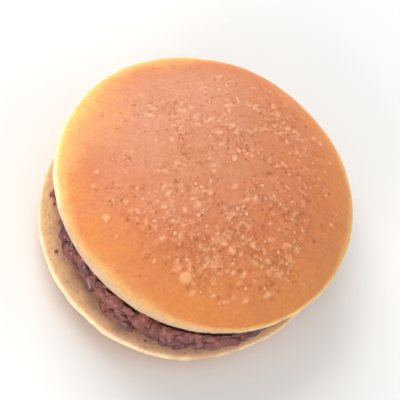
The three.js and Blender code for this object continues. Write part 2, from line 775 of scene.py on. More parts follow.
@dataclass
class Pancake:
    """One baked pancake: a browned face, a pale rim and a pale inner face.

    How far a surface faces the griddle's way is 1 on the middle of the browned face, 0 where the
    rim is upright and -1 on the middle of the pale face.

    Attributes:
        form: Its form.
        baked: The face that was browned on the griddle.
        rosy: The patches where the browned face is deepest in colour. On the upper pancake the
        deepest, on its lit back-left, takes the palest bloom, which is partly painted sheen.
        bubbles: The patches of the browned face that are marked by bubbles.
        low_edge: The stretches of rim where the browning reaches further round. On the upper
        pancake's front-right, away from the key lamp, they also darken the rim as painted shade.
        blisters: The larger bubbles that stand up from the browned face.
        seed: The number that its chance starts from.
        cells: Cells across a face before what shows is made finer.
        rows: Rows of cells round the rim before that.
        ring: The share of the radius beyond which the pale face shows.
        ring_fade: The share of the radius that this ring fades in over.
        crust_foot: How far the surface faces the griddle's way where browning starts.
        crust_top: The same where it is full.
        crust_edge: The unevenness of the browning's edge.
        facing_away: How far the surface faces away from the griddle where the inner face begins
            and where it is full.
        lying_flat: The same where the inner face's holes take over from the rim's.
        blush_rim: The share of the radius where the rosy colour fades.
        blush: The unevenness of that colour.
        bubbly_rim: The share of the radius where the bubbles' marks fade.
        veins: How far from 0 the noise is where a vein of marks begins and where it is full.
        vein_size: The width of that noise's humps.
        vein_weights: How many marks lie between the veins, and how many more in them.
        blister_edge: How strong a blister's patch is at its foot and where it is full.
        blister_height: The height of a blister.
        brink_weight: How dark the brink of a pale mark is, of 1: partly painted shade round the
        pit, partly darker crust.
        swell: The slow unevenness of the browned face.
        crumple: The unevenness of the pale crumb.
        hidden_crumple: How much of it is left on the crumb inside the ring, of 1.
        resting: The height over the surface it rests on where unevenness sets in.
        flecks: The pale marks of small bubbles on the browned face.
        pinholes: The dark ones.
        craters: The holes in the pale face.
        rim_pores: The holes round the rim.
    """

    form: PancakeForm
    baked: Side
    rosy: tuple[Patch, ...]
    bubbles: tuple[Patch, ...]
    low_edge: tuple[Patch, ...]
    blisters: tuple[Patch, ...]
    seed: int
    cells: int = 104
    rows: int = 12
    ring: float = 0.76
    ring_fade: float = 0.06
    crust_foot: float = 0.42
    crust_top: float = 0.955
    crust_edge: Relief = Relief(((0.035, 16 * MM), (0.022, 3.4 * MM)), Pattern.CRUST)
    facing_away: Fade = Fade(0.25, 0.85)
    lying_flat: Fade = Fade(0.45, 0.8)
    blush_rim: Fade = Fade(1.14, 0.72)
    blush: Relief = Relief(((0.07, 13 * MM), (0.05, 4 * MM)), Pattern.BLUSH)
    bubbly_rim: Fade = Fade(0.92, 0.8)
    veins: Fade = Fade(0.5, 0.05)
    vein_size: float = 12 * MM
    vein_weights: tuple[float, float] = (0.35, 1.1)
    blister_edge: Fade = Fade(0.15, 0.7)
    blister_height: float = 0.28 * MM
    brink_weight: float = 0.5
    swell: Relief = Relief(
        ((0.24 * MM, 21 * MM), (0.09 * MM, 8 * MM), (0.03 * MM, 2.6 * MM)), Pattern.SWELL
    )
    crumple: Relief = Relief(
        ((0.16 * MM, 7 * MM), (0.09 * MM, 2.6 * MM), (0.05 * MM, 1.1 * MM)), Pattern.CRUMPLE
    )
    hidden_crumple: float = 0.35
    resting: Fade = Fade(0.3 * MM, 1.2 * MM)
    flecks: Pits = Pits(
        count=330,
        least=0.5 * MM,
        most=1.15 * MM,
        rarity=2.0,
        depth=0.26,
        lip=0.5,
        oval=0.9,
        faintest=0.35,
        wobble=0.35 * MM,
    )
    pinholes: Pits = Pits(
        count=520,
        least=0.4 * MM,
        most=0.85 * MM,
        rarity=1.8,
        depth=0.36,
        lip=0.3,
        oval=0.9,
        faintest=0.4,
        wobble=0.35 * MM,
    )
    craters: Pits = Pits(
        count=620, least=0.25 * MM, most=0.65 * MM, rarity=2.4, depth=0.35, lip=0.1
    )
    rim_pores: Pits = Pits(count=620, least=0.22 * MM, most=0.55 * MM, rarity=2.2, depth=0.35)

    def build(self, stain: Callable[[np.ndarray], np.ndarray], finish: bpy.types.Material) -> None:
        """Makes the pancake and dresses it.

        Args:
            stain: How much of the paste's juice each point of the pale face has taken up.
            finish: The pancake's material.
        """
        mesh, spots = self._net().build(f"{self.form.node}_baked")
        points = self.form.placing().placed(self.form.place(spots))
        write_points(mesh, points)
        normals = read_vectors(mesh.vertex_normals, "vector")
        facing = normals[:, 2] * self.baked.value
        rng = np.random.default_rng(self.seed)

        browning = self._browning(points, facing, spots)
        pale = 1.0 - browning
        outer = Fade(self.ring, self.ring + self.ring_fade).at(spots.share)
        bubbly = self._bubbliness(points, spots) * browning
        marks = self._marks(points, spots, bubbly, rng)
        holes = self._holes(points, facing, pale * outer, rng)
        crumpled = self.hidden_crumple + (1.0 - self.hidden_crumple) * outer
        relief = self.swell.at(points) * browning + self.crumple.at(points) * pale * crumpled
        relief += marks.height + holes.height
        relief *= self.resting.at(points[:, 2])
        write_points(mesh, points + normals * relief[:, None])

        masks = {
            Mask.BROWNING: browning,
            # The inner face, which takes the crumb colour: its own tan, partly painted shade.
            Mask.INNER_CRUMB_AND_SHADE: self.facing_away.at(-facing),
            # The depth of colour; where it is deepest it takes the palest bloom, partly painted
            # sheen.
            Mask.ROSY: self._rosiness(points, spots),
            Mask.BUBBLY: bubbly,
            Mask.FLECKS: marks.inside,
            # Where pinholes and the brinks of pale marks are painted darker: partly darker-baked
            # crust, partly painted shade in and round the pits.
            Mask.PRICKS: marks.brink,
            # Painted shade inside the crumb's holes.
            Mask.HOLLOW_SHADE: holes.inside,
            Mask.STAIN: stain(points) * pale,
        }
        for mask, values in masks.items():
            write_mask(mesh, mask, values)
        finish_piece(mesh, finish, [self.form.node])

    def _net(self) -> LensNet:
        """Plans the net, fine on the browned face and on the ring of the pale one that shows.

        Returns:
            The net.
        """
        fine = {Side.UP: self.ring, Side.DOWN: self.ring, self.baked: 0.0}
        return LensNet(
            cells=self.cells,
            rows=self.rows,
            profile=self.form.profile,
            slimness=self.form.half / self.form.reach,
            fine_up=fine[Side.UP],
            fine_down=fine[Side.DOWN],
        )

    def _browning(self, points: np.ndarray, facing: np.ndarray, spots: Spots) -> np.ndarray:
        """Works out how browned the surface is.

        Args:
            points: The surface's points.
            facing: How far it faces the griddle's way at each.
            spots: Where they lie on the lens.

        Returns:
            The browning at each, from 0 on the pale crumb to 1 on the browned face.
        """
        tilt = facing + patched(self.low_edge, spots) + self.crust_edge.at(points)
        share = (tilt - self.crust_foot) / (self.crust_top - self.crust_foot)
        return np.clip(share, 0.0, 1.0)

    def _bubbliness(self, points: np.ndarray, spots: Spots) -> np.ndarray:
        """Works out where bubbles mark the browned face.

        Args:
            points: The surface's points.
            spots: Where they lie on the lens.

        Returns:
            How likely a mark is at each point.
        """
        vein = self.veins.at(np.abs(waves(points, self.vein_size, Pattern.VEINS)))
        between, within = self.vein_weights
        patches = patched(self.bubbles, spots) * self.bubbly_rim.at(spots.share)
        return patches * (between + within * vein)

    def _rosiness(self, points: np.ndarray, spots: Spots) -> np.ndarray:
        """Works out how deep the browned face's colour is.

        Args:
            points: The surface's points.
            spots: Where they lie on the lens.

        Returns:
            The depth at each point, from golden at 0 to rosy at 1.
        """
        patches = patched(self.rosy, spots) * self.blush_rim.at(spots.share)
        return patches + self.blush.at(points)

    def _marks(
        self, points: np.ndarray, spots: Spots, likely: np.ndarray, rng: np.random.Generator
    ) -> Pressed:
        """Makes the bubbles' marks on the browned face.

        Args:
            points: The surface's points.
            spots: Where they lie on the lens.
            likely: How likely a mark is at each.
            rng: The source of chance.

        Returns:
            The marks, pale inside and dark at their brinks. The dark is partly darker-baked crust
            and partly painted shade in and round the pits.
        """
        pale = self.flecks.press(points, likely, rng)
        dark = self.pinholes.press(points, likely, rng)
        blister = self.blister_edge.at(patched(self.blisters, spots))
        inside = np.maximum(pale.inside, blister)
        brink = np.maximum(dark.inside, self.brink_weight * pale.brink)
        return Pressed(
            height=pale.height + dark.height + self.blister_height * blister,
            inside=inside,
            brink=brink * (1.0 - inside),
        )

    def _holes(
        self, points: np.ndarray, facing: np.ndarray, shown: np.ndarray, rng: np.random.Generator
    ) -> Pressed:
        """Makes the holes in the pale crumb.

        Args:
            points: The surface's points.
            facing: How far it faces the griddle's way at each.
            shown: How far each is crumb that shows.
            rng: The source of chance.

        Returns:
            The inner face's holes and the rim's together.
        """
        flat = self.lying_flat.at(-facing)
        face = self.craters.press(points, shown * flat, rng)
        rim = self.rim_pores.press(points, shown * (1.0 - flat), rng)
        return Pressed(
            height=face.height + rim.height,
            inside=np.maximum(face.inside, rim.inside),
            brink=np.maximum(face.brink, rim.brink),
        )


@dataclass(frozen=True)
class Perch:
    """A place on the paste's side.

    Attributes:
        place: The place.
        out: The way out of the side there.
        height: The side's whole height there.
    """

    place: Vector
    out: Vector
    height: float

    def set_in(self, outward: float, *turns: tuple[float, str]) -> Matrix:
        """Works out where a thing goes that is set in the side.

        Args:
            outward: How far out of the side its middle stands.
            turns: The angle and the axis of each of its own turns. The last is made first.

        Returns:
            Its move and turn, which take X to the way out.
        """
        turn = Matrix.Rotation(math.atan2(self.out.y, self.out.x), 4, "Z")
        for angle, axis in turns:
            turn = turn @ Matrix.Rotation(angle, 4, axis)
        return Matrix.Translation(self.place + self.out * outward) @ turn


@dataclass
class BeanPaste:
    """The layer of coarse bean paste between the pancakes' pale faces.

    Attributes:
        lower: The form of the pancake under it.
        upper: The form of the pancake over it.
        node: The frame's node that it fills.
        reach: Its radius.
        clearance: The gap kept to each pancake.
        outline: Ripples of the radius, as shares of it.
        lumps: Ripples of its side, in metres.
        lump_twist: How far a lump's phase turns from halfway up the side to its top.
        side_bend: The power of the share of the radius that the side's forms fade in with.
        profile: Its cross-section.
        slimness: Half its thickness over its radius, for spacing the net's rows.
        cells: Cells across a face before its edge is made finer.
        rows: Rows of cells round its side before that.
        fine_from: The share of the radius beyond which its faces are made finer.
        edge_samples: How many places its edge is measured at.
        clod_layers: The height and the width of each size of clod on its side.
        clod_middle: The height of a clod, of 1, that lies level with the side.
        creases: How far out of the side a point is where a crease begins and where it is full.
        The creases are painted darker: painted shade.
        soaking: How far beyond the layer's edge its juice has spread, faintly and in full.
        soaking_edge: The unevenness of that.
    """

    lower: PancakeForm
    upper: PancakeForm
    node: str = "bean_paste"
    reach: float = 41.0 * MM
    clearance: float = 0.12 * MM
    outline: tuple[Ripple, ...] = (
        Ripple(1, 0.024, 0.9),
        Ripple(2, 0.012, 2.6),
        Ripple(3, 0.018, 3.67),
        Ripple(9, 0.014, 1.57),
    )
    lumps: tuple[Ripple, ...] = (Ripple(11, 0.5 * MM, 0.3), Ripple(16, 0.45 * MM, 2.2))
    lump_twist: float = 1.4
    side_bend: int = 6
    profile: Profile = Profile(bluntness=5.0, rim_share=0.97)
    slimness: float = 0.14
    cells: int = 84
    rows: int = 14
    fine_from: float = 0.86
    edge_samples: int = 721
    clod_layers: tuple[tuple[float, float], ...] = (
        (1.15 * MM, 5.2 * MM),
        (0.55 * MM, 2.6 * MM),
        (0.2 * MM, 1.2 * MM),
    )
    clod_middle: float = 0.55
    creases: Fade = Fade(0.0, -1.0 * MM)
    soaking: Fade = Fade(3.6 * MM, -1.2 * MM)
    soaking_edge: Relief = Relief(((1.6 * MM, 5 * MM),), Pattern.STAIN)

    def __post_init__(self) -> None:
        """Works out where the layer and its neighbours sit."""
        self.lower_placing = self.lower.placing()
        self.upper_placing = self.upper.placing()
        turn = np.linspace(0.0, math.tau, self.edge_samples)
        edge = Spots(np.ones_like(turn), turn, np.zeros_like(turn))
        self.placing = Placing.in_box(self.node, self._plan(edge, 0.0))

    def _edge(self, angle: np.ndarray) -> np.ndarray:
        """The layer's radius at each angle round it, without its lumps."""
        return self.reach * (1.0 + rippled(self.outline, angle))

    def _plan(self, spots: Spots, bulge: Union[np.ndarray, float]) -> np.ndarray:
        """Works out the nominal places of spots in plan, round the layer's own axis.

        Args:
            spots: Where they lie on the lens.
            bulge: How much further out the layer's side reaches at each of them.

        Returns:
            The places, one row each. Their heights only fill the box, from 0 to 1.
        """
        twist = self.lump_twist * spots.offset
        lumps = sum(w.size * np.cos(w.lobes * spots.angle + w.phase + twist) for w in self.lumps)
        radius = self._edge(spots.angle) * spots.share
        radius = radius + spots.share**self.side_bend * (lumps + bulge)
        climb = np.linspace(0.0, 1.0, len(radius))
        return np.column_stack([radius * np.cos(spots.angle), radius * np.sin(spots.angle), climb])

    def place(self, spots: Spots, bulge: Union[np.ndarray, float] = 0.0) -> np.ndarray:
        """Works out the true places of spots on or in the layer.

        Args:
            spots: Where they lie on the lens.
            bulge: How much further out the layer's side reaches at each of them.

        Returns:
            The places, between the pancakes' pale faces.
        """
        points = self.placing.placed(self._plan(spots, bulge))
        floor = self.lower.face(self.lower_placing, Side.UP, points) + self.clearance
        roof = self.upper.face(self.upper_placing, Side.DOWN, points) - self.clearance
        points[:, 2] = (floor + roof + spots.offset * (roof - floor)) / 2.0
        return points

    def perch(self, angle: float, climb: float) -> Perch:
        """Finds a place on the layer's side.

        Args:
            angle: The angle round the layer.
            climb: How far up the side it is, from -1 at its foot to 1 at its top.

        Returns:
            The place.
        """
        spots = Spots(np.ones(3), np.full(3, angle), np.array([climb, -1.0, 1.0]))
        place, foot, top = self.place(spots)
        out = Vector((math.cos(angle), math.sin(angle), 0.0))
        return Perch(Vector(place), out, float(top[2] - foot[2]))

    def ledge(self, place: Vector) -> tuple[float, float]:
        """Measures the lower pancake's pale face at a place beside the layer.

        Args:
            place: The place, whose height doesn't matter.

        Returns:
            The face's height there, and the share of the lower pancake's radius.
        """
        point = np.array([place])
        height = self.lower.face(self.lower_placing, Side.UP, point)[0]
        return float(height), float(self.lower.share(self.lower_placing, point)[0])

    def stain(self, points: np.ndarray) -> np.ndarray:
        """Works out how much of the paste's juice is taken up beside or under the layer.

        Args:
            points: The points, one row each.

        Returns:
            The share at each, from 0 to 1.
        """
        plan = self.placing.nominal(points)
        edge = self._edge(np.arctan2(plan[:, 1], plan[:, 0]))
        beyond = np.hypot(plan[:, 0], plan[:, 1]) - edge
        return self.soaking.at(beyond + self.soaking_edge.at(points))

    def build(self, finish: bpy.types.Material) -> None:
        """Makes the layer and dresses it.

        Args:
            finish: Its material.
        """
        net = LensNet(
            cells=self.cells,
            rows=self.rows,
            profile=self.profile,
            slimness=self.slimness,
            fine_up=self.fine_from,
            fine_down=self.fine_from,
        )
        mesh, spots = net.build("bean_paste_layer")
        smooth = self.place(spots)
        bulge = np.zeros(len(smooth))
        for number, (height, size) in enumerate(self.clod_layers):
            bulge += height * (clods(smooth, size, number) - self.clod_middle)
        write_points(mesh, self.place(spots, bulge))
        # The creases between clods, for painted shade there.
        write_mask(mesh, Mask.HOLLOW_SHADE, self.creases.at(bulge))
        finish_piece(mesh, finish, [self.node])


@dataclass(frozen=True)
class Bean:
    """A bean's form: a short bowed barrel with a shallow groove on its inner edge.

    Attributes:
        length: Its length.
        width: Its width.
        bluntness: The power of the share of its length that it narrows with.
        ends: The power that rounds its ends.
        thinnest: The least thickness of a ball, as a share, that its own is taken over.
        fullest: The most that it is fuller than a ball.
        groove: The groove's depth as a share of the bean's width.
        groove_across: How narrow the groove is across the edge: more is narrower.
        groove_along: How short it is along the edge: more is shorter.
        bow: How far its ends are bent sideways, as a share of its width.
        detail: How often the ball that it is made of is divided.
    """

    length: float = 6.4 * MM
    width: float = 4.6 * MM
    bluntness: float = 3.2
    ends: float = 0.42
    thinnest: float = 0.2
    fullest: float = 1.12
    groove: float = 0.16
    groove_across: float = 3.0
    groove_along: float = 2.2
    bow: float = 0.07
    detail: int = 3

    def add(self, bm: bmesh.types.BMesh, place: Matrix, size: float, squash: float) -> None:
        """Adds a bean to a mesh.

        Args:
            bm: The mesh that it joins.
            place: Its place and turn.
            size: Its size over a usual bean's.
            squash: How far it is flattened, 1 for a round one.
        """
        ball = bmesh.ops.create_icosphere(bm, subdivisions=self.detail, radius=1.0)["verts"]
        radius = self.width / 2.0
        for vert in ball:
            x, y, z = vert.co
            barrel = (1.0 - abs(y) ** self.bluntness) ** self.ends
            full = min(barrel / max((1.0 - y * y) ** 0.5, self.thinnest), self.fullest)
            far = (z * self.groove_across) ** 2 + (y * self.groove_along) ** 2
            groove = 1.0 - self.groove * math.exp(-far) * (x < 0.0)
            vert.co.x = x * full * groove * radius
            vert.co.z = z * full * squash * radius
            vert.co.y = y * self.length / 2.0
            vert.co.x += self.bow * self.width * (y * y)
        bmesh.ops.scale(bm, vec=(size,) * 3, verts=ball)
        bmesh.ops.transform(bm, matrix=place, verts=ball)


@dataclass
class WholeBeans:
    """The whole beans that stand partly out of the paste's side.

    Attributes:
        paste: The layer that they sit in.
        bean: A usual bean's form.
        count: How many places round the side are tried.
        stray: How far round the side one strays, as a share of their spacing.
        climbs: The lowest and the highest place on the side, from -1 to 1.
        sizes: The smallest and the largest size, over a usual bean's.
        leans: How far one is turned by chance about X, Z and Y, in radians.
        depth: How far its middle lies inside the side at the least.
        depth_spread: How much deeper than that it may lie.
        spare: How far it may reach over the side's foot or top.
        flattest: The flattest that one is squashed to fit there, of 1.
        wrinkles: The unevenness of its skin.
        seed: The number that its chance starts from.
    """

    paste: BeanPaste
    bean: Bean = Bean()
    count: int = 96
    stray: float = 0.8
    climbs: tuple[float, float] = (-0.72, 0.72)
    sizes: tuple[float, float] = (0.72, 1.08)
    leans: tuple[float, float, float] = (0.5, 0.6, 0.4)
    depth: float = 0.9 * MM
    depth_spread: float = 1.4 * MM
    spare: float = 0.5 * MM
    flattest: float = 0.55
    wrinkles: Relief = Relief(((0.22 * MM, 2.1 * MM), (0.1 * MM, 0.9 * MM)), Pattern.WRINKLES)
    seed: int = 61

    def build(self, finish: bpy.types.Material) -> None:
        """Makes the beans and dresses them.

        Args:
            finish: Their material.
        """
        rng = np.random.default_rng(self.seed)
        bm = bmesh.new()
        made = 0
        for number in range(self.count):
            angle = math.tau * (number + self.stray * rng.random()) / self.count
            climb = rng.uniform(*self.climbs)
            size = rng.uniform(*self.sizes)
            tilt, yaw, pitch = (rng.normal(0.0, lean) for lean in self.leans)
            perch = self.paste.perch(angle, climb)
            room = perch.height / 2.0 * (1.0 - abs(climb)) + self.spare
            squash = min(1.0, room / (self.bean.width * size / 2.0))
            if squash < self.flattest:
                continue
            sink = self.depth + rng.uniform(0.0, self.depth_spread)
            place = perch.set_in(-sink, (pitch, "Y"), (yaw, "Z"), (tilt * squash, "X"))
            self.bean.add(bm, place, size, squash)
            made += 1
        mesh = take_mesh(bm, "whole_beans")
        wrinkle(mesh, self.wrinkles)
        write_mask(mesh, Mask.TINT, np.repeat(rng.random(made), len(mesh.vertices) // made))
        finish_piece(mesh, finish)


@dataclass
class BeanHusks:
    """Burst bean skins, thin curled flakes pressed into the paste's side.

    Attributes:
        paste: The layer that they lie on.
        count: How many there are.
        climbs: The lowest and the highest place on the side, from -1 to 1.
        sizes: The smallest and the largest size, over a usual flake's.
        curls: The weakest and the strongest curl.
        lean: How far one is turned by chance about Y, in radians.
        stand: How far out of the side the deepest and the outermost one stand.
        fill: How much of the side's height a flake may take.
        least: What even the tightest place leaves of its size.
        breadth: A flake's breadth.
        thickness: Its thickness.
        oblong: Its length over its breadth.
        corners: How far its corners are drawn in.
        end_curl: Its curl along its length over the one across it.
        cells: Its cells each way.
        seed: The number that its chance starts from.
    """

    paste: BeanPaste
    count: int = 150
    climbs: tuple[float, float] = (-0.7, 0.7)
    sizes: tuple[float, float] = (0.45, 1.0)
    curls: tuple[float, float] = (0.5, 1.3)
    lean: float = 0.3
    stand: tuple[float, float] = (-0.5 * MM, 0.25 * MM)
    fill: float = 0.8
    least: float = 0.2
    breadth: float = 4.4 * MM
    thickness: float = 0.22 * MM
    oblong: float = 1.35
    corners: float = 0.35
    end_curl: float = 0.35
    cells: int = 4
    seed: int = 62

    def build(self, finish: bpy.types.Material) -> None:
        """Makes the flakes and dresses them.

        Args:
            finish: Their material.
        """
        rng = np.random.default_rng(self.seed)
        bm = bmesh.new()
        for number in range(self.count):
            angle = math.tau * (number + rng.random()) / self.count
            climb = rng.uniform(*self.climbs)
            size = rng.uniform(*self.sizes)
            curl, roll = rng.uniform(*self.curls), rng.uniform(0.0, math.tau)
            lift = rng.normal(0.0, self.lean)
            perch = self.paste.perch(angle, climb)
            room = self.fill * perch.height * (1.0 - abs(climb))
            size = min(size, room / self.breadth + self.least)
            place = perch.set_in(rng.uniform(*self.stand), (lift, "Y"), (roll, "X"))
            self._add_husk(bm, place, size, curl)
        mesh = take_mesh(bm, "bean_husks")
        tints = rng.random(self.count)
        write_mask(mesh, Mask.TINT, np.repeat(tints, len(mesh.vertices) // self.count))
        finish_piece(mesh, finish)

    def _add_husk(self, bm: bmesh.types.BMesh, place: Matrix, size: float, curl: float) -> None:
        """Adds one flake: a small round sheet, curled like part of a bean's skin.

        Args:
            bm: The mesh that it joins.
            place: Its place and turn.
            size: Its size over a usual flake's.
            curl: How strongly it is curled.
        """
        flake = bmesh.ops.create_grid(
            bm, x_segments=self.cells, y_segments=self.cells, size=0.5
        )["verts"]
        for vert in flake:
            across, along = vert.co.x, vert.co.y
            kept = 1.0 - self.corners * (2.0 * across) ** 2 * (2.0 * along) ** 2
            across, along = across * kept, along * kept * self.oblong
            sag = across * across + self.end_curl * along * along
            vert.co = (-curl * sag, across, along)
        faces = list(dict.fromkeys(f for v in flake for f in v.link_faces))
        shell = bmesh.ops.solidify(bm, geom=faces, thickness=self.thickness / self.breadth)["geom"]
        added = [v for v in shell if isinstance(v, bmesh.types.BMVert)]
        verts = list(dict.fromkeys(flake + added))
        bmesh.ops.scale(bm, vec=(self.breadth * size,) * 3, verts=verts)
        bmesh.ops.transform(bm, matrix=place, verts=verts)


@dataclass
class PasteCrumbs:
    """Small bits of paste left on the lower pancake's pale face, beside the layer.

    Attributes:
        paste: The layer that they came from.
        count: How many places are tried.
        least: The smallest one's radius.
        most: The largest one's radius.
        stray: The furthest that one lies from the layer.
        brink: The share of the lower pancake's radius that none lies beyond.
        lift: How high its middle lies over the face, as a share of its radius.
        stretch: Its length, breadth and height, over a ball's.
        uneven: The unevenness of its surface.
        detail: How often the ball that it is made of is divided.
        seed: The number that its chance starts from.
    """

    paste: BeanPaste
    count: int = 20
    least: float = 0.3 * MM
    most: float = 0.9 * MM
    stray: float = 4.5 * MM
    brink: float = 0.965
    lift: float = 0.35
    stretch: tuple[float, float, float] = (1.4, 1.0, 0.75)
    uneven: Relief = Relief(((0.22 * MM, 0.9 * MM),), Pattern.CRUMBS)
    detail: int = 2
    seed: int = 63

    def build(self, finish: bpy.types.Material) -> None:
        """Makes the crumbs and dresses them.

        Args:
            finish: Their material.
        """
        rng = np.random.default_rng(self.seed)
        bm = bmesh.new()
        for _ in range(self.count):
            angle = rng.uniform(0.0, math.tau)
            radius = self.least * (self.most / self.least) ** (rng.random() ** 2)
            perch = self.paste.perch(angle, -1.0)
            place = perch.place + perch.out * self.stray * rng.random() ** 2
            turn = Matrix.Rotation(rng.uniform(0.0, math.pi), 4, "Z")
            floor, share = self.paste.ledge(place)
            if share > self.brink:
                continue
            place.z = floor + self.lift * radius
            crumb = bmesh.ops.create_icosphere(bm, subdivisions=self.detail, radius=radius)["verts"]
            bmesh.ops.scale(bm, vec=self.stretch, verts=crumb)
            bmesh.ops.transform(bm, matrix=Matrix.Translation(place) @ turn, verts=crumb)
        mesh = take_mesh(bm, "paste_crumbs")
        wrinkle(mesh, self.uneven)
        finish_piece(mesh, finish)


class Graph:
    """A shader node tree, with short ways to add nodes and to join them.

    Attributes:
        tree: The tree.
        mix_inputs: Where a Mix node takes its factor and its two colours.
        mix_output: Where it gives its colour.
    """

    mix_inputs = (0, 6, 7)
    mix_output = 2

    def __init__(self, tree: bpy.types.NodeTree) -> None:
        """Starts on a tree of nodes."""
        self.tree = tree

    def add(self, kind: str, *feeds: Feed, **settings: object) -> bpy.types.Node:
        """Adds a node.

        Args:
            kind: Its type.
            feeds: What its first inputs take, in order.
            settings: Its properties.

        Returns:
            The node.
        """
        node = self.tree.nodes.new(kind)
        for name, value in settings.items():
            setattr(node, name, value)
        for socket, feed in zip(node.inputs, feeds):
            self.join(socket, feed)
        return node

    def join(self, socket: Socket, feed: Feed) -> None:
        """Joins an output to an input socket, or sets the socket's own value.

        Args:
            socket: The input socket.
            feed: The output or the value.
        """
        if isinstance(feed, bpy.types.NodeSocket):
            self.tree.links.new(feed, socket)
        else:
            socket.default_value = feed

    def feed(self, node: bpy.types.Node, feeds: dict[str, Feed]) -> None:
        """Joins or sets several of a node's inputs by name."""
        for name, value in feeds.items():
            self.join(node.inputs[name], value)

    def millimetres(self) -> Socket:
        """Reads the object's own coordinates.

        Returns:
            The coordinates in millimetres.
        """
        scaled = self.add("ShaderNodeMapping", vector_type="POINT")
        place = self.add("ShaderNodeTexCoord").outputs["Object"]
        self.feed(scaled, {"Vector": place, "Scale": (1.0 / MM,) * 3})
        return scaled.outputs["Vector"]

    def mask(self, mask: Mask) -> Socket:
        """The value of a mask stored on the mesh."""
        return self.add("ShaderNodeAttribute", attribute_name=mask.value).outputs["Fac"]

    def math(self, operation: str, *feeds: Feed) -> Socket:
        """The outcome of a sum on up to three values."""
        return self.add("ShaderNodeMath", *feeds, operation=operation).outputs["Value"]

    def times(self, first: Feed, second: Feed) -> Socket:
        """The product of two values."""
        return self.math("MULTIPLY", first, second)

    def most(self, first: Feed, *others: Feed) -> Feed:
        """Finds the largest of several values.

        Args:
            first: The first value.
            others: The others.

        Returns:
            The largest.
        """
        for other in others:
            first = self.math("MAXIMUM", first, other)
        return first

    def weigh(self, *terms: tuple[Feed, float], start: float = 0.0) -> Feed:
        """Adds up values, each times its weight.

        Args:
            terms: The values and their weights.
            start: What they are added to.

        Returns:
            The sum.
        """
        total: Feed = start
        for value, weight in terms:
            total = self.math("MULTIPLY_ADD", value, weight, total)
        return total

    def blend(self, factor: Feed, first: Feed, second: Feed, lay: Lay = Lay.COVER) -> Socket:
        """Lays one colour over another.

        Args:
            factor: How strongly it is laid, from 0 to 1.
            first: The colour below.
            second: The colour that is laid over it.
            lay: How it is laid.

        Returns:
            The colour that they make.
        """
        node = self.add("ShaderNodeMix", data_type="RGBA", blend_type=lay.value, clamp_factor=True)
        for place, feed in zip(self.mix_inputs, (factor, first, second)):
            self.join(node.inputs[place], feed)
        return node.outputs[self.mix_output]

    def step(self, value: Feed, fade: Fade, start: float = 0.0, end: float = 1.0) -> Socket:
        """Makes a smooth step from one value to another.

        Args:
            value: The value that is judged.
            fade: Where the step starts and ends.
            start: What it gives before it.
            end: What it gives past it.

        Returns:
            The outcome.
        """
        feeds = (value, fade.low, fade.high, start, end)
        node = self.add("ShaderNodeMapRange", *feeds, interpolation_type="SMOOTHSTEP")
        return node.outputs["Result"]

    def ramp(self, factor: Feed, stops: Sequence[tuple[float, Colour]]) -> Socket:
        """Makes a colour that runs through several stops.

        Args:
            factor: Where along the stops the colour is.
            stops: The place and the colour of each, in order.

        Returns:
            The colour.
        """
        node = self.add("ShaderNodeValToRGB", factor)
        elements = node.color_ramp.elements
        elements[0].position, elements[0].color = stops[0]
        elements[1].position, elements[1].color = stops[-1]
        for place, colour in stops[1:-1]:
            elements.new(place).color = colour
        return node.outputs["Color"]

    def noise(self, vector: Feed, scale: Feed, detail: float) -> Socket:
        """Makes smooth noise.

        Args:
            vector: Where it is read.
            scale: How many humps there are in a unit.
            detail: How many finer layers it has.

        Returns:
            The noise, about 0 to 1.
        """
        node = self.add("ShaderNodeTexNoise")
        self.feed(node, {"Vector": vector, "Scale": scale, "Detail": detail})
        return node.outputs["Fac"]

    def use(self, effect: bpy.types.NodeTree, **feeds: Feed) -> dict[str, Socket]:
        """Places an effect.

        Args:
            effect: The effect's group.
            feeds: What its inputs take, by name.

        Returns:
            Its outputs by name.
        """
        node = self.add("ShaderNodeGroup", node_tree=effect)
        self.feed(node, feeds)
        return {socket.name: socket for socket in node.outputs}


@dataclass(frozen=True)
class Dots:
    """Small roundish spots scattered over a finish.

    Attributes:
        size: The largest one's width in millimetres.
        spacing: How far apart their places are, in millimetres.
        share: How many of the places have one, where they are thickest.
    """

    size: float
    spacing: float
    share: float = 1.0


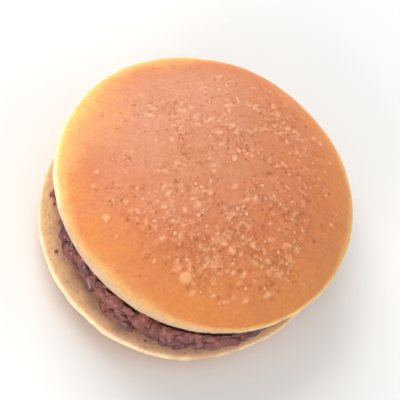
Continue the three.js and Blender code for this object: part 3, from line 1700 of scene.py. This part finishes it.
@dataclass
class Effects:
    """The effects that several finishes share, each a node group.

    Attributes:
        coarse_detail: How many finer layers the coarse grain has.
        fine_detail: The same for the fine grain.
        finer: How many times finer the fine grain is than the coarse one.
        stray: How far the spots' outlines stray, as a share of their size.
        stray_pitch: How often they do so in their own width.
        size_spread: The chance from which spots grow, and at which they are full size.
        smallest: The smallest spot's size over the largest one's.
        hole: Where a spot's hole starts and where it is full, from its middle.
        brink: The same for its brink.
        moisture_pitch: How many wet patches there are in a millimetre.
        moisture_detail: How many finer layers they have.
        dry: Where a wet patch's noise is wet and where it is dry.
    """

    coarse_detail: float = 3.0
    fine_detail: float = 2.0
    finer: float = 4.3
    stray: float = 0.55
    stray_pitch: float = 1.4
    size_spread: Fade = Fade(0.1, 1.0)
    smallest: float = 0.25
    hole: Fade = Fade(0.3, 0.6)
    brink: Fade = Fade(0.55, 0.95)
    moisture_pitch: float = 0.42
    moisture_detail: float = 4.0
    dry: Fade = Fade(0.36, 0.64)

    def __post_init__(self) -> None:
        """Builds the groups once."""
        self.grain = self._grain()
        self.pinholes = self._pinholes()
        self.moisture = self._moisture()

    def scatter(
        self, graph: Graph, where: Socket, dots: Dots, thickness: Feed = 1.0
    ) -> dict[str, Socket]:
        """Scatters spots over a finish.

        Args:
            graph: The finish's nodes.
            where: The coordinates in millimetres.
            dots: The spots.
            thickness: How thickly they lie, from 0 to 1.

        Returns:
            The spots' "Hole" and "Brink", each from 0 to 1.
        """
        share = graph.times(thickness, dots.share)
        sizes = {"Size": dots.size, "Spacing": dots.spacing}
        return graph.use(self.pinholes, Vector=where, Share=share, **sizes)

    @staticmethod
    def _group(
        name: str, inputs: dict[str, Optional[float]], outputs: Sequence[str]
    ) -> tuple[Graph, dict[str, Socket], dict[str, Socket]]:
        """Starts a group.

        Args:
            name: The group's name.
            inputs: The name of each input and its usual value, or None for a vector.
            outputs: The names of its values.

        Returns:
            Its graph, and its inputs and outputs by name, as sockets inside it.
        """
        tree = bpy.data.node_groups.new(name, "ShaderNodeTree")
        for label, usual in inputs.items():
            kind = "NodeSocketVector" if usual is None else "NodeSocketFloat"
            socket = tree.interface.new_socket(label, in_out="INPUT", socket_type=kind)
            if usual is not None:
                socket.default_value = usual
        for label in outputs:
            tree.interface.new_socket(label, in_out="OUTPUT", socket_type="NodeSocketFloat")
        graph = Graph(tree)
        way_in, way_out = graph.add("NodeGroupInput"), graph.add("NodeGroupOutput")
        given = {s.name: s for s in way_in.outputs if s.name}
        made = {s.name: s for s in way_out.inputs if s.name}
        return graph, given, made

    def _grain(self) -> bpy.types.NodeTree:
        """Makes fine uneven grain of a given size.

        Returns:
            The group, which gives a coarse and a fine layer.
        """
        graph, given, made = self._group(
            "food_grain", {"Vector": None, "Size": 1.0}, ["Coarse", "Fine"]
        )
        pitch = graph.math("DIVIDE", 1.0, given["Size"])
        graph.join(made["Coarse"], graph.noise(given["Vector"], pitch, self.coarse_detail))
        finer = graph.times(pitch, self.finer)
        graph.join(made["Fine"], graph.noise(given["Vector"], finer, self.fine_detail))
        return graph.tree

    def _strayed(self, graph: Graph, where: Socket, size: Socket) -> Socket:
        """Shifts coordinates unevenly, so that round spots come out of round.

        Args:
            graph: The group's nodes.
            where: The coordinates.
            size: The spots' size.

        Returns:
            The shifted coordinates.
        """
        wobble = graph.add("ShaderNodeTexNoise")
        pitch = graph.math("DIVIDE", self.stray_pitch, size)
        graph.feed(wobble, {"Vector": where, "Scale": pitch})
        spread = graph.add("ShaderNodeVectorMath", wobble.outputs["Color"], operation="SCALE")
        graph.join(spread.inputs["Scale"], graph.times(size, self.stray))
        moved = graph.add("ShaderNodeVectorMath", where, spread.outputs["Vector"], operation="ADD")
        return moved.outputs["Vector"]

    def _pinholes(self) -> bpy.types.NodeTree:
        """Makes small roundish spots scattered over a surface.

        Returns:
            The group, which gives the spots' holes and the brink round each.
        """
        graph, given, made = self._group(
            "food_pinholes",
            {"Vector": None, "Size": 1.0, "Spacing": 2.0, "Share": 1.0},
            ["Hole", "Brink"],
        )
        cells = graph.add("ShaderNodeTexVoronoi", feature="F1")
        where = self._strayed(graph, given["Vector"], given["Size"])
        graph.feed(cells, {"Vector": where, "Scale": graph.math("DIVIDE", 1.0, given["Spacing"])})
        chance = graph.add("ShaderNodeSeparateColor", cells.outputs["Color"]).outputs
        largest = graph.math("DIVIDE", given["Size"], given["Spacing"])
        size = graph.step(chance["Red"], self.size_spread, self.smallest, 1.0)
        near = graph.math("DIVIDE", cells.outputs["Distance"], graph.times(largest, size))
        there = graph.math("LESS_THAN", chance["Green"], given["Share"])
        hole = graph.step(near, self.hole, 1.0, 0.0)
        brink = graph.math("SUBTRACT", graph.step(near, self.brink, 1.0, 0.0), hole)
        graph.join(made["Hole"], graph.times(hole, there))
        graph.join(made["Brink"], graph.times(brink, there))
        return graph.tree

    def _moisture(self) -> bpy.types.NodeTree:
        """Makes the roughness of a surface that is wetter in some places than in others.

        Returns:
            The group.
        """
        graph, given, made = self._group(
            "food_moisture", {"Vector": None, "Wet": 0.3, "Dry": 0.7}, ["Roughness"]
        )
        noise_height = graph.noise(given["Vector"], self.moisture_pitch, self.moisture_detail)
        dryness = graph.step(noise_height, self.dry)
        spread = graph.math("SUBTRACT", given["Dry"], given["Wet"])
        roughness = graph.math("MULTIPLY_ADD", dryness, spread, given["Wet"])
        graph.join(made["Roughness"], roughness)
        return graph.tree


@dataclass(frozen=True)
class Wash:
    """A colour laid over a finish.

    Attributes:
        colour: The colour, or for a filter how much it keeps of red, green and blue.
        weight: How strongly it is laid where its mask is full.
        lay: How it is laid.
    """

    colour: Colour
    weight: float
    lay: Lay = Lay.COVER

    def over(self, graph: Graph, colour: Socket, mask: Feed) -> Socket:
        """Lays it over a colour.

        Args:
            graph: The finish's nodes.
            colour: The colour below.
            mask: Where it is laid, from 0 to 1.

        Returns:
            The colour that they make.
        """
        return graph.blend(graph.times(mask, self.weight), colour, self.colour, self.lay)


@dataclass(frozen=True)
class Substance:
    """What a finish is like apart from its colour and its roughness.

    Attributes:
        relief: How deep its fine relief is, in metres.
        gloss: How strongly its surface reflects.
        film: The weight of the wet film over it.
        film_roughness: That film's roughness.
        softness: How much light passes under the surface.
        passage: How far it passes there, for each of red, green and blue.
    """

    relief: float
    gloss: float
    film: float = 0.0
    film_roughness: float = 0.0
    softness: float = 0.0
    passage: tuple[float, float, float] = (MM, MM, MM)

    def give(self, graph: Graph, shader: bpy.types.Node, height: Socket) -> None:
        """Gives it to a material.

        Args:
            graph: The material's nodes.
            shader: Its shader.
            height: The height of its fine relief, about 0 to 1.
        """
        bump = graph.add("ShaderNodeBump")
        graph.feed(bump, {"Height": height, "Distance": self.relief})
        graph.feed(shader, {"Normal": bump.outputs["Normal"], "Specular IOR Level": self.gloss})
        if self.film:
            film = {"Coat Weight": self.film, "Coat Roughness": self.film_roughness}
            graph.feed(shader, film)
        if self.softness:
            graph.feed(shader, {"Subsurface Weight": self.softness, "Subsurface Scale": 1.0})
            graph.feed(shader, {"Subsurface Radius": self.passage})


class Finish:
    """A finish: how a material is put together. Each kind fills in paint().

    Attributes:
        name: The material's name.
    """

    name: str

    def material(self, effects: Effects) -> bpy.types.Material:
        """Makes the material.

        Args:
            effects: The shared effects.

        Returns:
            The material.
        """
        made = bpy.data.materials.new(self.name)
        made.use_nodes = True
        self.paint(Graph(made.node_tree), made.node_tree.nodes["Principled BSDF"], effects)
        return made

    def paint(self, graph: Graph, shader: bpy.types.Node, effects: Effects) -> None:
        """Feeds the shader."""
        raise NotImplementedError


@dataclass(frozen=True)
class BakedFinish(Finish):
    """A pancake's skin and crumb: cream crumb, yellow edge, golden ring and rosy brown middle.

    Sizes are in millimetres.

    Attributes:
        crumb: The inner face's colour: its own tan crumb colour, darkened further with painted
        shade of the kind that falls under the upper pancake's rim.
        cream: The rim's colour, below the skin: its own pale cream, lightened further with a
        painted glow of warm light reflected onto the rim.
        yellow: The colour where the skin begins.
        amber: The colour further up it.
        golden: The ring's colour.
        brown: The colour where it turns browner.
        rosy: The middle's colour.
        pink_and_sheen: The colour of its palest bloom: partly the crust's own paler rose colour,
            partly
        painted sheen, laid where the face's colour is deepest, which on the upper pancake is
        the back-left that the key lamp lights.
        skin_places: The browning at the skin's four colours, from cream to golden.
        face_places: The depth of the face's four colours, from golden to pink.
        face_from: The browning at which the face's colours take over from the skin's.
        skin_from: The browning at which the crumb's pores give way to skin.
        speck: How much lighter bubbles' marks are than the face around them.
        film: The thin dry film over those marks.
        scorch_and_pit_shade: How much darker pinpricks, the brinks round pale marks and dark
            blotches are:
        partly darker-baked crust, partly painted shade in and round the pits.
        hollow: How much darker the crumb's holes are: painted shade inside them.
        juice: What the paste has stained.
        specks: The smallest pale marks.
        pricks: The smallest dark marks.
        pores: The crumb's smallest pores.
        grain: The grain's size.
        mottle: The size of its broad mottling.
        blotches: How many blotches there are among the bubbles' marks.
        light: Where their noise turns light.
        deep: Where it turns dark.
        ragged: How far the grain and the mottling each shift the browning.
        blush_mottle: How far the mottling shifts the face's depth of colour.
        blush_grain: How far the grain does.
        brinks: How dark the specks' brinks are, over a prick: painted shade round them, with
        a darker crust.
        blotch_weights: How strong the light and the dark blotches are, over a speck or a prick.
        pore_weights: How dark the painted shade makes the smallest pores and the larger holes.
        fine_shade: Where the fine grain is darkest and where it is lightest.
        broad_shade: The same for the mottling.
        fine_tones: The tones that the fine grain gives there.
        broad_tones: Those that the mottling gives.
        roughness: The bare crumb's roughness.
        skin_smooth: How much smoother the skin is.
        grain_rough: How much rougher the grain makes it.
        heights: How high each of the finish's parts stands, by its name.
        substance: What it is like apart from that.
        name: The material's name.
    """

    crumb: Colour = (0.67, 0.395, 0.198, 1.0)
    # The rim's cream is lightened beyond its own colour with a painted glow of reflected warm
    # light.
    cream: Colour = (0.91, 0.705, 0.435, 1.0)
    yellow: Colour = (0.85, 0.535, 0.158, 1.0)
    amber: Colour = (0.79, 0.39, 0.12, 1.0)
    golden: Colour = (0.69, 0.24, 0.055, 1.0)
    brown: Colour = (0.60, 0.19, 0.068, 1.0)
    rosy: Colour = (0.605, 0.222, 0.108, 1.0)
    # The palest bloom: partly the crust's own colour, partly painted sheen.
    pink_and_sheen: Colour = (0.63, 0.245, 0.138, 1.0)
    skin_places: tuple[float, ...] = (0.0, 0.4, 0.72, 1.0)
    face_places: tuple[float, ...] = (0.0, 0.42, 0.8, 1.0)
    face_from: Fade = Fade(0.72, 1.0)
    skin_from: Fade = Fade(0.55, 1.0)
    speck: Wash = Wash((1.28, 1.47, 1.62, 1.0), 0.9, Lay.FILTER)
    film: Wash = Wash((0.90, 0.50, 0.28, 1.0), 0.39)
    # Darker pricks, brinks and blotches: partly darker-baked crust, partly painted shade in and
    # round the pits.
    scorch_and_pit_shade: Wash = Wash((0.70, 0.50, 0.32, 1.0), 0.7, Lay.FILTER)
    # Painted shade inside the crumb's pores and holes.
    hollow: Wash = Wash((0.78, 0.66, 0.52, 1.0), 1.0, Lay.FILTER)
    juice: Wash = Wash((0.42, 0.21, 0.15, 1.0), 0.6)
    specks: Dots = Dots(size=1.5, spacing=1.75, share=0.5)
    pricks: Dots = Dots(size=1.15, spacing=1.5, share=0.7)
    pores: Dots = Dots(size=0.42, spacing=1.0, share=0.8)
    grain: float = 1.1
    mottle: float = 5.0
    blotches: float = 0.5
    light: Fade = Fade(0.52, 0.66)
    deep: Fade = Fade(0.54, 0.38)
    ragged: float = 0.1
    blush_mottle: float = 0.35
    blush_grain: float = 0.25
    brinks: float = 0.6
    blotch_weights: tuple[float, float] = (0.6, 0.55)
    pore_weights: tuple[float, float] = (0.4, 0.7)
    fine_shade: Fade = Fade(0.3, 0.7)
    broad_shade: Fade = Fade(0.35, 0.62)
    fine_tones: tuple[float, float] = (0.94, 1.05)
    broad_tones: tuple[float, float] = (0.95, 1.03)
    roughness: float = 0.7
    skin_smooth: float = 0.29
    grain_rough: float = 0.16
    heights: tuple[tuple[str, float], ...] = (
        ("coarse", 0.6),
        ("fine", 0.35),
        ("pores", -1.5),
        ("pricks", -0.9),
        ("specks", -0.6),
        ("brinks", 0.5),
        ("light", 1.2),
        ("deep", -1.2),
    )
    substance: Substance = Substance(
        relief=0.15 * MM,
        gloss=0.42,
        softness=0.14,
        passage=(1.1 * MM, 0.5 * MM, 0.22 * MM),
    )
    name: str = "baked_batter"

    def paint(self, graph: Graph, shader: bpy.types.Node, effects: Effects) -> None:
        """Feeds the shader from the masks, the grain and the pinholes.

        Args:
            graph: The material's nodes.
            shader: Its shader.
            effects: The shared effects.
        """
        where = graph.millimetres()
        grain = graph.use(effects.grain, Vector=where, Size=self.grain)
        mottle = graph.use(effects.grain, Vector=where, Size=self.mottle)
        bubbly = graph.mask(Mask.BUBBLY)
        specks = effects.scatter(graph, where, self.specks, bubbly)
        pricks = effects.scatter(graph, where, self.pricks, bubbly)
        blotch = graph.noise(where, self.blotches, effects.coarse_detail)
        light = graph.times(graph.step(blotch, self.light), bubbly)
        deep = graph.times(graph.step(blotch, self.deep), bubbly)

        browning = graph.weigh(
            (graph.mask(Mask.BROWNING), 1.0),
            (grain["Coarse"], self.ragged),
            (mottle["Fine"], self.ragged),
            start=-self.ragged,
        )
        browned = graph.step(browning, self.skin_from)
        light_weight, deep_weight = self.blotch_weights
        dark = graph.most(
            pricks["Hole"],
            graph.mask(Mask.PRICKS),
            graph.times(specks["Brink"], self.brinks),
            graph.times(deep, deep_weight),
        )
        pale = graph.most(
            specks["Hole"], graph.mask(Mask.FLECKS), graph.times(light, light_weight)
        )
        pore_weight, hole_weight = self.pore_weights
        bare = graph.weigh((browned, -pore_weight), start=pore_weight)
        pores = graph.times(effects.scatter(graph, where, self.pores)["Hole"], bare)
        holes = graph.most(pores, graph.times(graph.mask(Mask.HOLLOW_SHADE), hole_weight))
        colour = self._ground(graph, browning, grain, mottle)
        # Darker pricks, brinks and blotches: partly darker-baked crust, partly painted shade in and
        # round the pits.
        colour = self.scorch_and_pit_shade.over(graph, colour, dark)
        colour = self.speck.over(graph, colour, pale)
        colour = self.film.over(graph, colour, pale)
        # Painted shade inside the pores and holes.
        colour = self.hollow.over(graph, colour, holes)
        colour = self.juice.over(graph, colour, graph.mask(Mask.STAIN))
        shade = graph.times(
            graph.step(grain["Fine"], self.fine_shade, *self.fine_tones),
            graph.step(mottle["Fine"], self.broad_shade, *self.broad_tones),
        )
        tone = graph.add("ShaderNodeCombineColor", shade, shade, shade).outputs["Color"]
        colour = graph.blend(1.0, colour, tone, Lay.FILTER)
        rough = graph.weigh(
            (browned, -self.skin_smooth), (grain["Coarse"], self.grain_rough), start=self.roughness
        )
        graph.feed(shader, {"Base Color": colour, "Roughness": rough})
        parts = {
            "coarse": grain["Coarse"],
            "fine": grain["Fine"],
            "pores": pores,
            "pricks": pricks["Hole"],
            "specks": specks["Hole"],
            "brinks": specks["Brink"],
            "light": light,
            "deep": deep,
        }
        height = graph.weigh(*((parts[name], weight) for name, weight in self.heights))
        self.substance.give(graph, shader, height)

    def _ground(
        self, graph: Graph, browning: Feed, grain: dict[str, Socket], mottle: dict[str, Socket]
    ) -> Socket:
        """Makes the colour that everything else is laid over.

        Args:
            graph: The material's nodes.
            browning: How browned the surface is.
            grain: The grain.
            mottle: The broad mottling.

        Returns:
            The colour, from the cream crumb to the rosy middle.
        """
        depth = graph.weigh(
            (graph.mask(Mask.ROSY), 1.0),
            (mottle["Coarse"], self.blush_mottle),
            (grain["Coarse"], self.blush_grain),
            start=-(self.blush_mottle + self.blush_grain) / 2.0,
        )
        face_colours = (self.golden, self.brown, self.rosy, self.pink_and_sheen)
        skin_colours = (self.cream, self.yellow, self.amber, self.golden)
        face = graph.ramp(depth, list(zip(self.face_places, face_colours)))
        skin = graph.ramp(browning, list(zip(self.skin_places, skin_colours)))
        # The inner face: its own tan crumb colour, darkened with painted shade.
        skin = graph.blend(graph.mask(Mask.INNER_CRUMB_AND_SHADE), skin, self.crumb)
        return graph.blend(graph.step(browning, self.face_from), skin, face)


@dataclass(frozen=True)
class MoistFinish(Finish):
    """A moist surface in three colours, wetter in some places than in others.

    Sizes are in millimetres.

    Attributes:
        name: The material's name.
        colours: Its darkest, its usual and its palest colour.
        places: The tint at each of them.
        grain: The grain's size.
        broad: The size of its broad tints.
        mask: The mask that changes its tint.
        mask_weight: How much the tint follows the mask.
        broad_weight: How much it follows the broad tints.
        coarse_weight: How much it follows the coarse grain.
        fine_weight: How much it follows the fine grain.
        coarse_relief: How much its relief follows the coarse grain.
        fine_relief: How much it follows the fine grain.
        wet: The roughness where it is wettest.
        dry: The roughness where it is driest.
        substance: What it is like apart from that.
        pits: The pits in it, if it has any.
        pit_relief: How much its relief follows them.
    """

    name: str
    colours: tuple[Colour, Colour, Colour]
    places: tuple[float, float, float]
    grain: float
    broad: float
    mask: Mask
    mask_weight: float
    broad_weight: float
    coarse_weight: float
    fine_weight: float
    coarse_relief: float
    fine_relief: float
    wet: float
    dry: float
    substance: Substance
    pits: Optional[Dots] = None
    pit_relief: float = -0.5

    def paint(self, graph: Graph, shader: bpy.types.Node, effects: Effects) -> None:
        """Feeds the shader from the mask, the grain, the pits and the moisture.

        Args:
            graph: The material's nodes.
            shader: Its shader.
            effects: The shared effects.
        """
        where = graph.millimetres()
        grain = graph.use(effects.grain, Vector=where, Size=self.grain)
        broad = graph.use(effects.grain, Vector=where, Size=self.broad)
        tint = graph.weigh(
            (graph.mask(self.mask), self.mask_weight),
            (broad["Coarse"], self.broad_weight),
            (grain["Coarse"], self.coarse_weight),
            (grain["Fine"], self.fine_weight),
        )
        colour = graph.ramp(tint, list(zip(self.places, self.colours)))
        rough = graph.use(effects.moisture, Vector=where, Wet=self.wet, Dry=self.dry)["Roughness"]
        graph.feed(shader, {"Base Color": colour, "Roughness": rough})
        height = graph.weigh(
            (grain["Coarse"], self.coarse_relief), (grain["Fine"], self.fine_relief)
        )
        if self.pits:
            holes = effects.scatter(graph, where, self.pits)["Hole"]
            height = graph.weigh((holes, self.pit_relief), start=height)
        self.substance.give(graph, shader, height)


@dataclass(frozen=True)
class FloorFinish(Finish):
    """A plain pale tabletop.

    Attributes:
        pale: Its colour.
        shade: The colour of its faint unevenness.
        grain: That unevenness's size in millimetres.
        roughness: Its roughness.
        name: The material's name.
    """

    pale: Colour = (0.82, 0.815, 0.81, 1.0)
    shade: Colour = (0.79, 0.785, 0.78, 1.0)
    grain: float = 60.0
    roughness: float = 0.7
    name: str = "pale_table"

    def paint(self, graph: Graph, shader: bpy.types.Node, effects: Effects) -> None:
        """Feeds the shader from a faint broad grain.

        Args:
            graph: The material's nodes.
            shader: Its shader.
            effects: The shared effects.
        """
        grain = graph.use(effects.grain, Vector=graph.millimetres(), Size=self.grain)
        colour = graph.blend(grain["Coarse"], self.pale, self.shade)
        graph.feed(shader, {"Base Color": colour, "Roughness": self.roughness})


@dataclass(frozen=True)
class Lamp:
    """A square soft lamp.

    Attributes:
        name: Its name.
        power: The power in watts that would light the dorayaki as well from a metre away.
        size: Its width for each metre that it stands away.
        way: The direction that it shines from.
        colour: The light's colour.
    """

    name: str
    power: float
    size: float
    way: tuple[float, float, float]
    colour: tuple[float, float, float] = (1.0, 0.99, 0.97)


def aim(thing: bpy.types.Object, way: Vector, roll: float = 0.0) -> None:
    """Turns a lamp or a camera so that it looks against a direction.

    Args:
        thing: The lamp or the camera.
        way: The direction from what it looks at to it.
        roll: How far it is turned about its own line of sight, in radians.
    """
    turn = Matrix.Rotation(roll, 3, "Z").to_quaternion()
    thing.rotation_mode = "QUATERNION"
    thing.rotation_quaternion = (-way).to_track_quat("-Z", "Y") @ turn


@dataclass
class Studio:
    """The floor, the light and the camera.

    Attributes:
        elevation: The camera's height over the horizon, in degrees.
        roll: How far the camera is turned about its own line of sight, in degrees.
        distance: How far it stands from the dorayaki.
        field: The width that it sees there.
        floor_size: The floor's width.
        floor_cells: The floor's cells each way.
        sky: The strength of the even light from all round.
        sky_colour: That light's colour.
        lamps: The lamps.
        away: How far they stand from the dorayaki.
    """

    elevation: float = 60.0
    roll: float = 30.0
    distance: float = 0.62
    field: float = 0.122
    floor_size: float = 6.0
    floor_cells: int = 8
    sky: float = 0.66
    sky_colour: Colour = (1.0, 1.0, 1.0, 1.0)
    lamps: tuple[Lamp, ...] = (
        Lamp("key", power=9.2, size=0.8, way=(-0.642, 0.539, 0.545)),
        Lamp("fill", power=5.5, size=0.5, way=(-0.199, -0.935, 0.292)),
        Lamp("side", power=1.35, size=0.8, way=(0.88, 0.2, 0.43)),
    )
    away: float = 2.6

    def build(self, effects: Effects) -> None:
        """Makes all of it.

        Args:
            effects: The shared effects.
        """
        self._make_floor(effects)
        self._make_sky()
        for lamp in self.lamps:
            self._hang(lamp)
        self._make_camera()
        bpy.context.scene.view_settings.view_transform = "Standard"

    def _make_floor(self, effects: Effects) -> None:
        """Makes the floor that the dorayaki rests on.

        Args:
            effects: The shared effects.
        """
        bm = bmesh.new()
        cells, half = self.floor_cells, self.floor_size / 2.0
        bmesh.ops.create_grid(bm, x_segments=cells, y_segments=cells, size=half)
        mesh = take_mesh(bm, "table")
        mesh.materials.append(FloorFinish().material(effects))
        floor = add_object("table", mesh)

    def _make_sky(self) -> None:
        """Makes the even light from all round."""
        world = bpy.data.worlds.new("soft_sky")
        world.use_nodes = True
        background = world.node_tree.nodes["Background"]
        Graph(world.node_tree).feed(background, {"Color": self.sky_colour, "Strength": self.sky})
        bpy.context.scene.world = world

    def _hang(self, lamp: Lamp) -> None:
        """Hangs a lamp so that it shines on the dorayaki, and hides it from the camera.

        Args:
            lamp: The lamp.
        """
        light = bpy.data.lights.new(lamp.name, "AREA")
        light.energy = lamp.power * self.away**2
        light.size = lamp.size * self.away
        light.color = lamp.colour
        way = Vector(lamp.way).normalized()
        hung = add_object(lamp.name, light)
        hung.visible_camera = False
        hung.location = way * self.away
        aim(hung, way)

    def _make_camera(self) -> None:
        """Makes the camera, which looks down on the open side."""
        low, high = CAD_BOX
        raised = math.radians(self.elevation)
        back = Vector((0.0, -math.cos(raised), math.sin(raised)))
        lens = bpy.data.cameras.new("camera")
        lens.lens = lens.sensor_width * self.distance / self.field
        camera = add_object("camera", lens)
        camera.location = (low + high) / 2.0 + back * self.distance
        aim(camera, back, math.radians(self.roll))
        bpy.context.scene.camera = camera


MASHED_BEANS = MoistFinish(
    name="mashed_beans",
    colours=((0.055, 0.013, 0.010, 1.0), (0.205, 0.057, 0.049, 1.0), (0.32, 0.13, 0.107, 1.0)),
    places=(0.36, 0.72, 1.05),
    grain=0.8,
    broad=2.6,
    # Darker in the creases between clods, down to the darkest colour: painted shade.
    mask=Mask.HOLLOW_SHADE,
    mask_weight=-0.5,
    broad_weight=0.9,
    coarse_weight=0.45,
    fine_weight=0.25,
    coarse_relief=0.7,
    fine_relief=0.35,
    wet=0.3,
    dry=0.66,
    substance=Substance(
        relief=0.3 * MM,
        gloss=0.4,
        film=0.06,
        film_roughness=0.3,
        softness=0.08,
        passage=(0.9 * MM, 0.3 * MM, 0.3 * MM),
    ),
    pits=Dots(size=0.5, spacing=1.1),
)
BEAN_SKIN = MoistFinish(
    name="bean_skin",
    colours=((0.065, 0.013, 0.012, 1.0), (0.15, 0.034, 0.031, 1.0), (0.24, 0.062, 0.047, 1.0)),
    places=(0.42, 0.72, 1.05),
    grain=1.3,
    broad=7.0,
    mask=Mask.TINT,
    mask_weight=0.5,
    broad_weight=0.6,
    coarse_weight=0.4,
    fine_weight=0.0,
    coarse_relief=0.6,
    fine_relief=0.3,
    wet=0.24,
    dry=0.55,
    substance=Substance(relief=0.2 * MM, gloss=0.4, film=0.3, film_roughness=0.18),
)
LOWER = PancakeForm(
    node="lower_pancake",
    reach=45.6 * MM,
    half=5.8 * MM,
    middle=5.2 * MM,
    rise=4.2 * MM,
    bend=3.0,
    lean=(0.0, 0.0),
    outline=(Ripple(2, 0.012, 3.66), Ripple(3, 0.008, 5.24), Ripple(5, 0.004, 0.4)),
    wave=(
        Ripple(1, 1.6 * MM, -1.31),
        Ripple(2, 0.5 * MM, 2.4),
        Ripple(3, 0.4 * MM, 0.7),
        Ripple(5, 0.3 * MM, 1.9),
    ),
)
UPPER = PancakeForm(
    node="upper_pancake",
    reach=47.4 * MM,
    half=6.6 * MM,
    middle=28.6 * MM,
    rise=-8.2 * MM,
    bend=2.1,
    lean=(-1.6 * MM, -3.2 * MM),
    outline=(Ripple(2, 0.012, -2.33), Ripple(3, 0.006, 3.0), Ripple(4, 0.006, -0.55)),
    wave=(Ripple(2, 0.5 * MM, 0.9), Ripple(3, 0.5 * MM, 4.4), Ripple(7, 0.25 * MM, 1.2)),
)
# Where the upper face's colour runs deep: to rosy brown over most of the face and, on its back-left
# where the key lamp shines, to its palest bloom, which is partly painted sheen over the crust's own
# colour. Towards the right it stays browner.
UPPER_ROSY_AND_SHEEN = (
    Patch(-0.41, 0.54, 0.64, 0.87),
    Patch(-0.52, -0.28, 0.46, 0.46),
    Patch(-0.06, -0.65, 0.25, 0.13),
    Patch(0.45, 0.72, 0.20, 0.18),
    Patch(0.05, -0.34, 0.34, 0.21),
    Patch(0.36, 0.00, 0.66, 0.49),
)
UPPER_BUBBLES = (
    Patch(0.38, -0.42, 0.28, 1.0),
    Patch(0.62, -0.22, 0.18, 0.7),
    Patch(0.46, 0.10, 0.20, 0.6),
    Patch(0.14, -0.62, 0.13, 0.7),
    Patch(-0.40, 0.12, 0.22, 0.4),
    Patch(-0.26, -0.46, 0.20, 0.5),
    Patch(0.16, 0.60, 0.28, 0.3),
    Patch(0.04, 0.16, 0.56, 0.42),
)
# Where the upper pancake's browning reaches further down its rim. The first two, on the front-right
# that faces away from the key lamp, also darken that rim with painted shade.
UPPER_RIM_BROWNING_AND_SHADE = (
    Patch(0.84, -0.48, 0.42, 0.40),
    Patch(0.54, -0.85, 0.28, 0.22),
    Patch(0.98, 0.14, 0.22, 0.05),
    Patch(0.62, 0.76, 0.50, 0.10),
    Patch(0.00, 1.00, 0.40, 0.22),
    Patch(-0.52, -0.80, 0.26, 0.12),
    Patch(-0.87, -0.50, 0.20, 0.03),
    Patch(-0.93, 0.34, 0.34, 0.05),
    Patch(-0.98, 0.04, 0.44, -0.07),
    Patch(0.08, -1.00, 0.28, 0.06),
)
UPPER_BLISTERS = (Patch(0.156, -0.735, 0.036, 1.0), Patch(0.33, -0.44, 0.024, 1.0))
LOWER_ROSY = (Patch(0.0, 0.0, 0.75, 0.7), Patch(-0.3, 0.3, 0.3, 0.25), Patch(0.4, -0.1, 0.3, 0.3))
LOWER_BUBBLES = (
    Patch(0.0, 0.0, 0.6, 0.3),
    Patch(-0.35, -0.3, 0.25, 0.8),
    Patch(0.3, 0.35, 0.3, 0.8),
)
LOWER_LOW_EDGE = (Patch(-0.5, 0.85, 0.5, 0.2), Patch(0.95, 0.1, 0.35, 0.15))
LOWER_BLISTERS = (Patch(-0.2, 0.42, 0.03, 1.0),)


def main() -> None:
    """Builds the studio and the dorayaki, piece by piece."""
    logging.basicConfig(level=logging.INFO, format="%(message)s")
    effects = Effects()
    Studio().build(effects)

    baked = BakedFinish().material(effects)
    bean_skin = BEAN_SKIN.material(effects)
    mashed = MASHED_BEANS.material(effects)

    paste = BeanPaste(lower=LOWER, upper=UPPER)
    lower = Pancake(
        LOWER, Side.DOWN, LOWER_ROSY, LOWER_BUBBLES, LOWER_LOW_EDGE, LOWER_BLISTERS, seed=11
    )
    upper = Pancake(
        UPPER, Side.UP, UPPER_ROSY_AND_SHEEN, UPPER_BUBBLES, UPPER_RIM_BROWNING_AND_SHADE, UPPER_BLISTERS, seed=12
    )
    for pancake in (lower, upper):
        pancake.build(paste.stain, baked)
    paste.build(mashed)
    WholeBeans(paste).build(bean_skin)
    BeanHusks(paste).build(bean_skin)
    PasteCrumbs(paste).build(mashed)


if __name__ == "__main__":
    main()
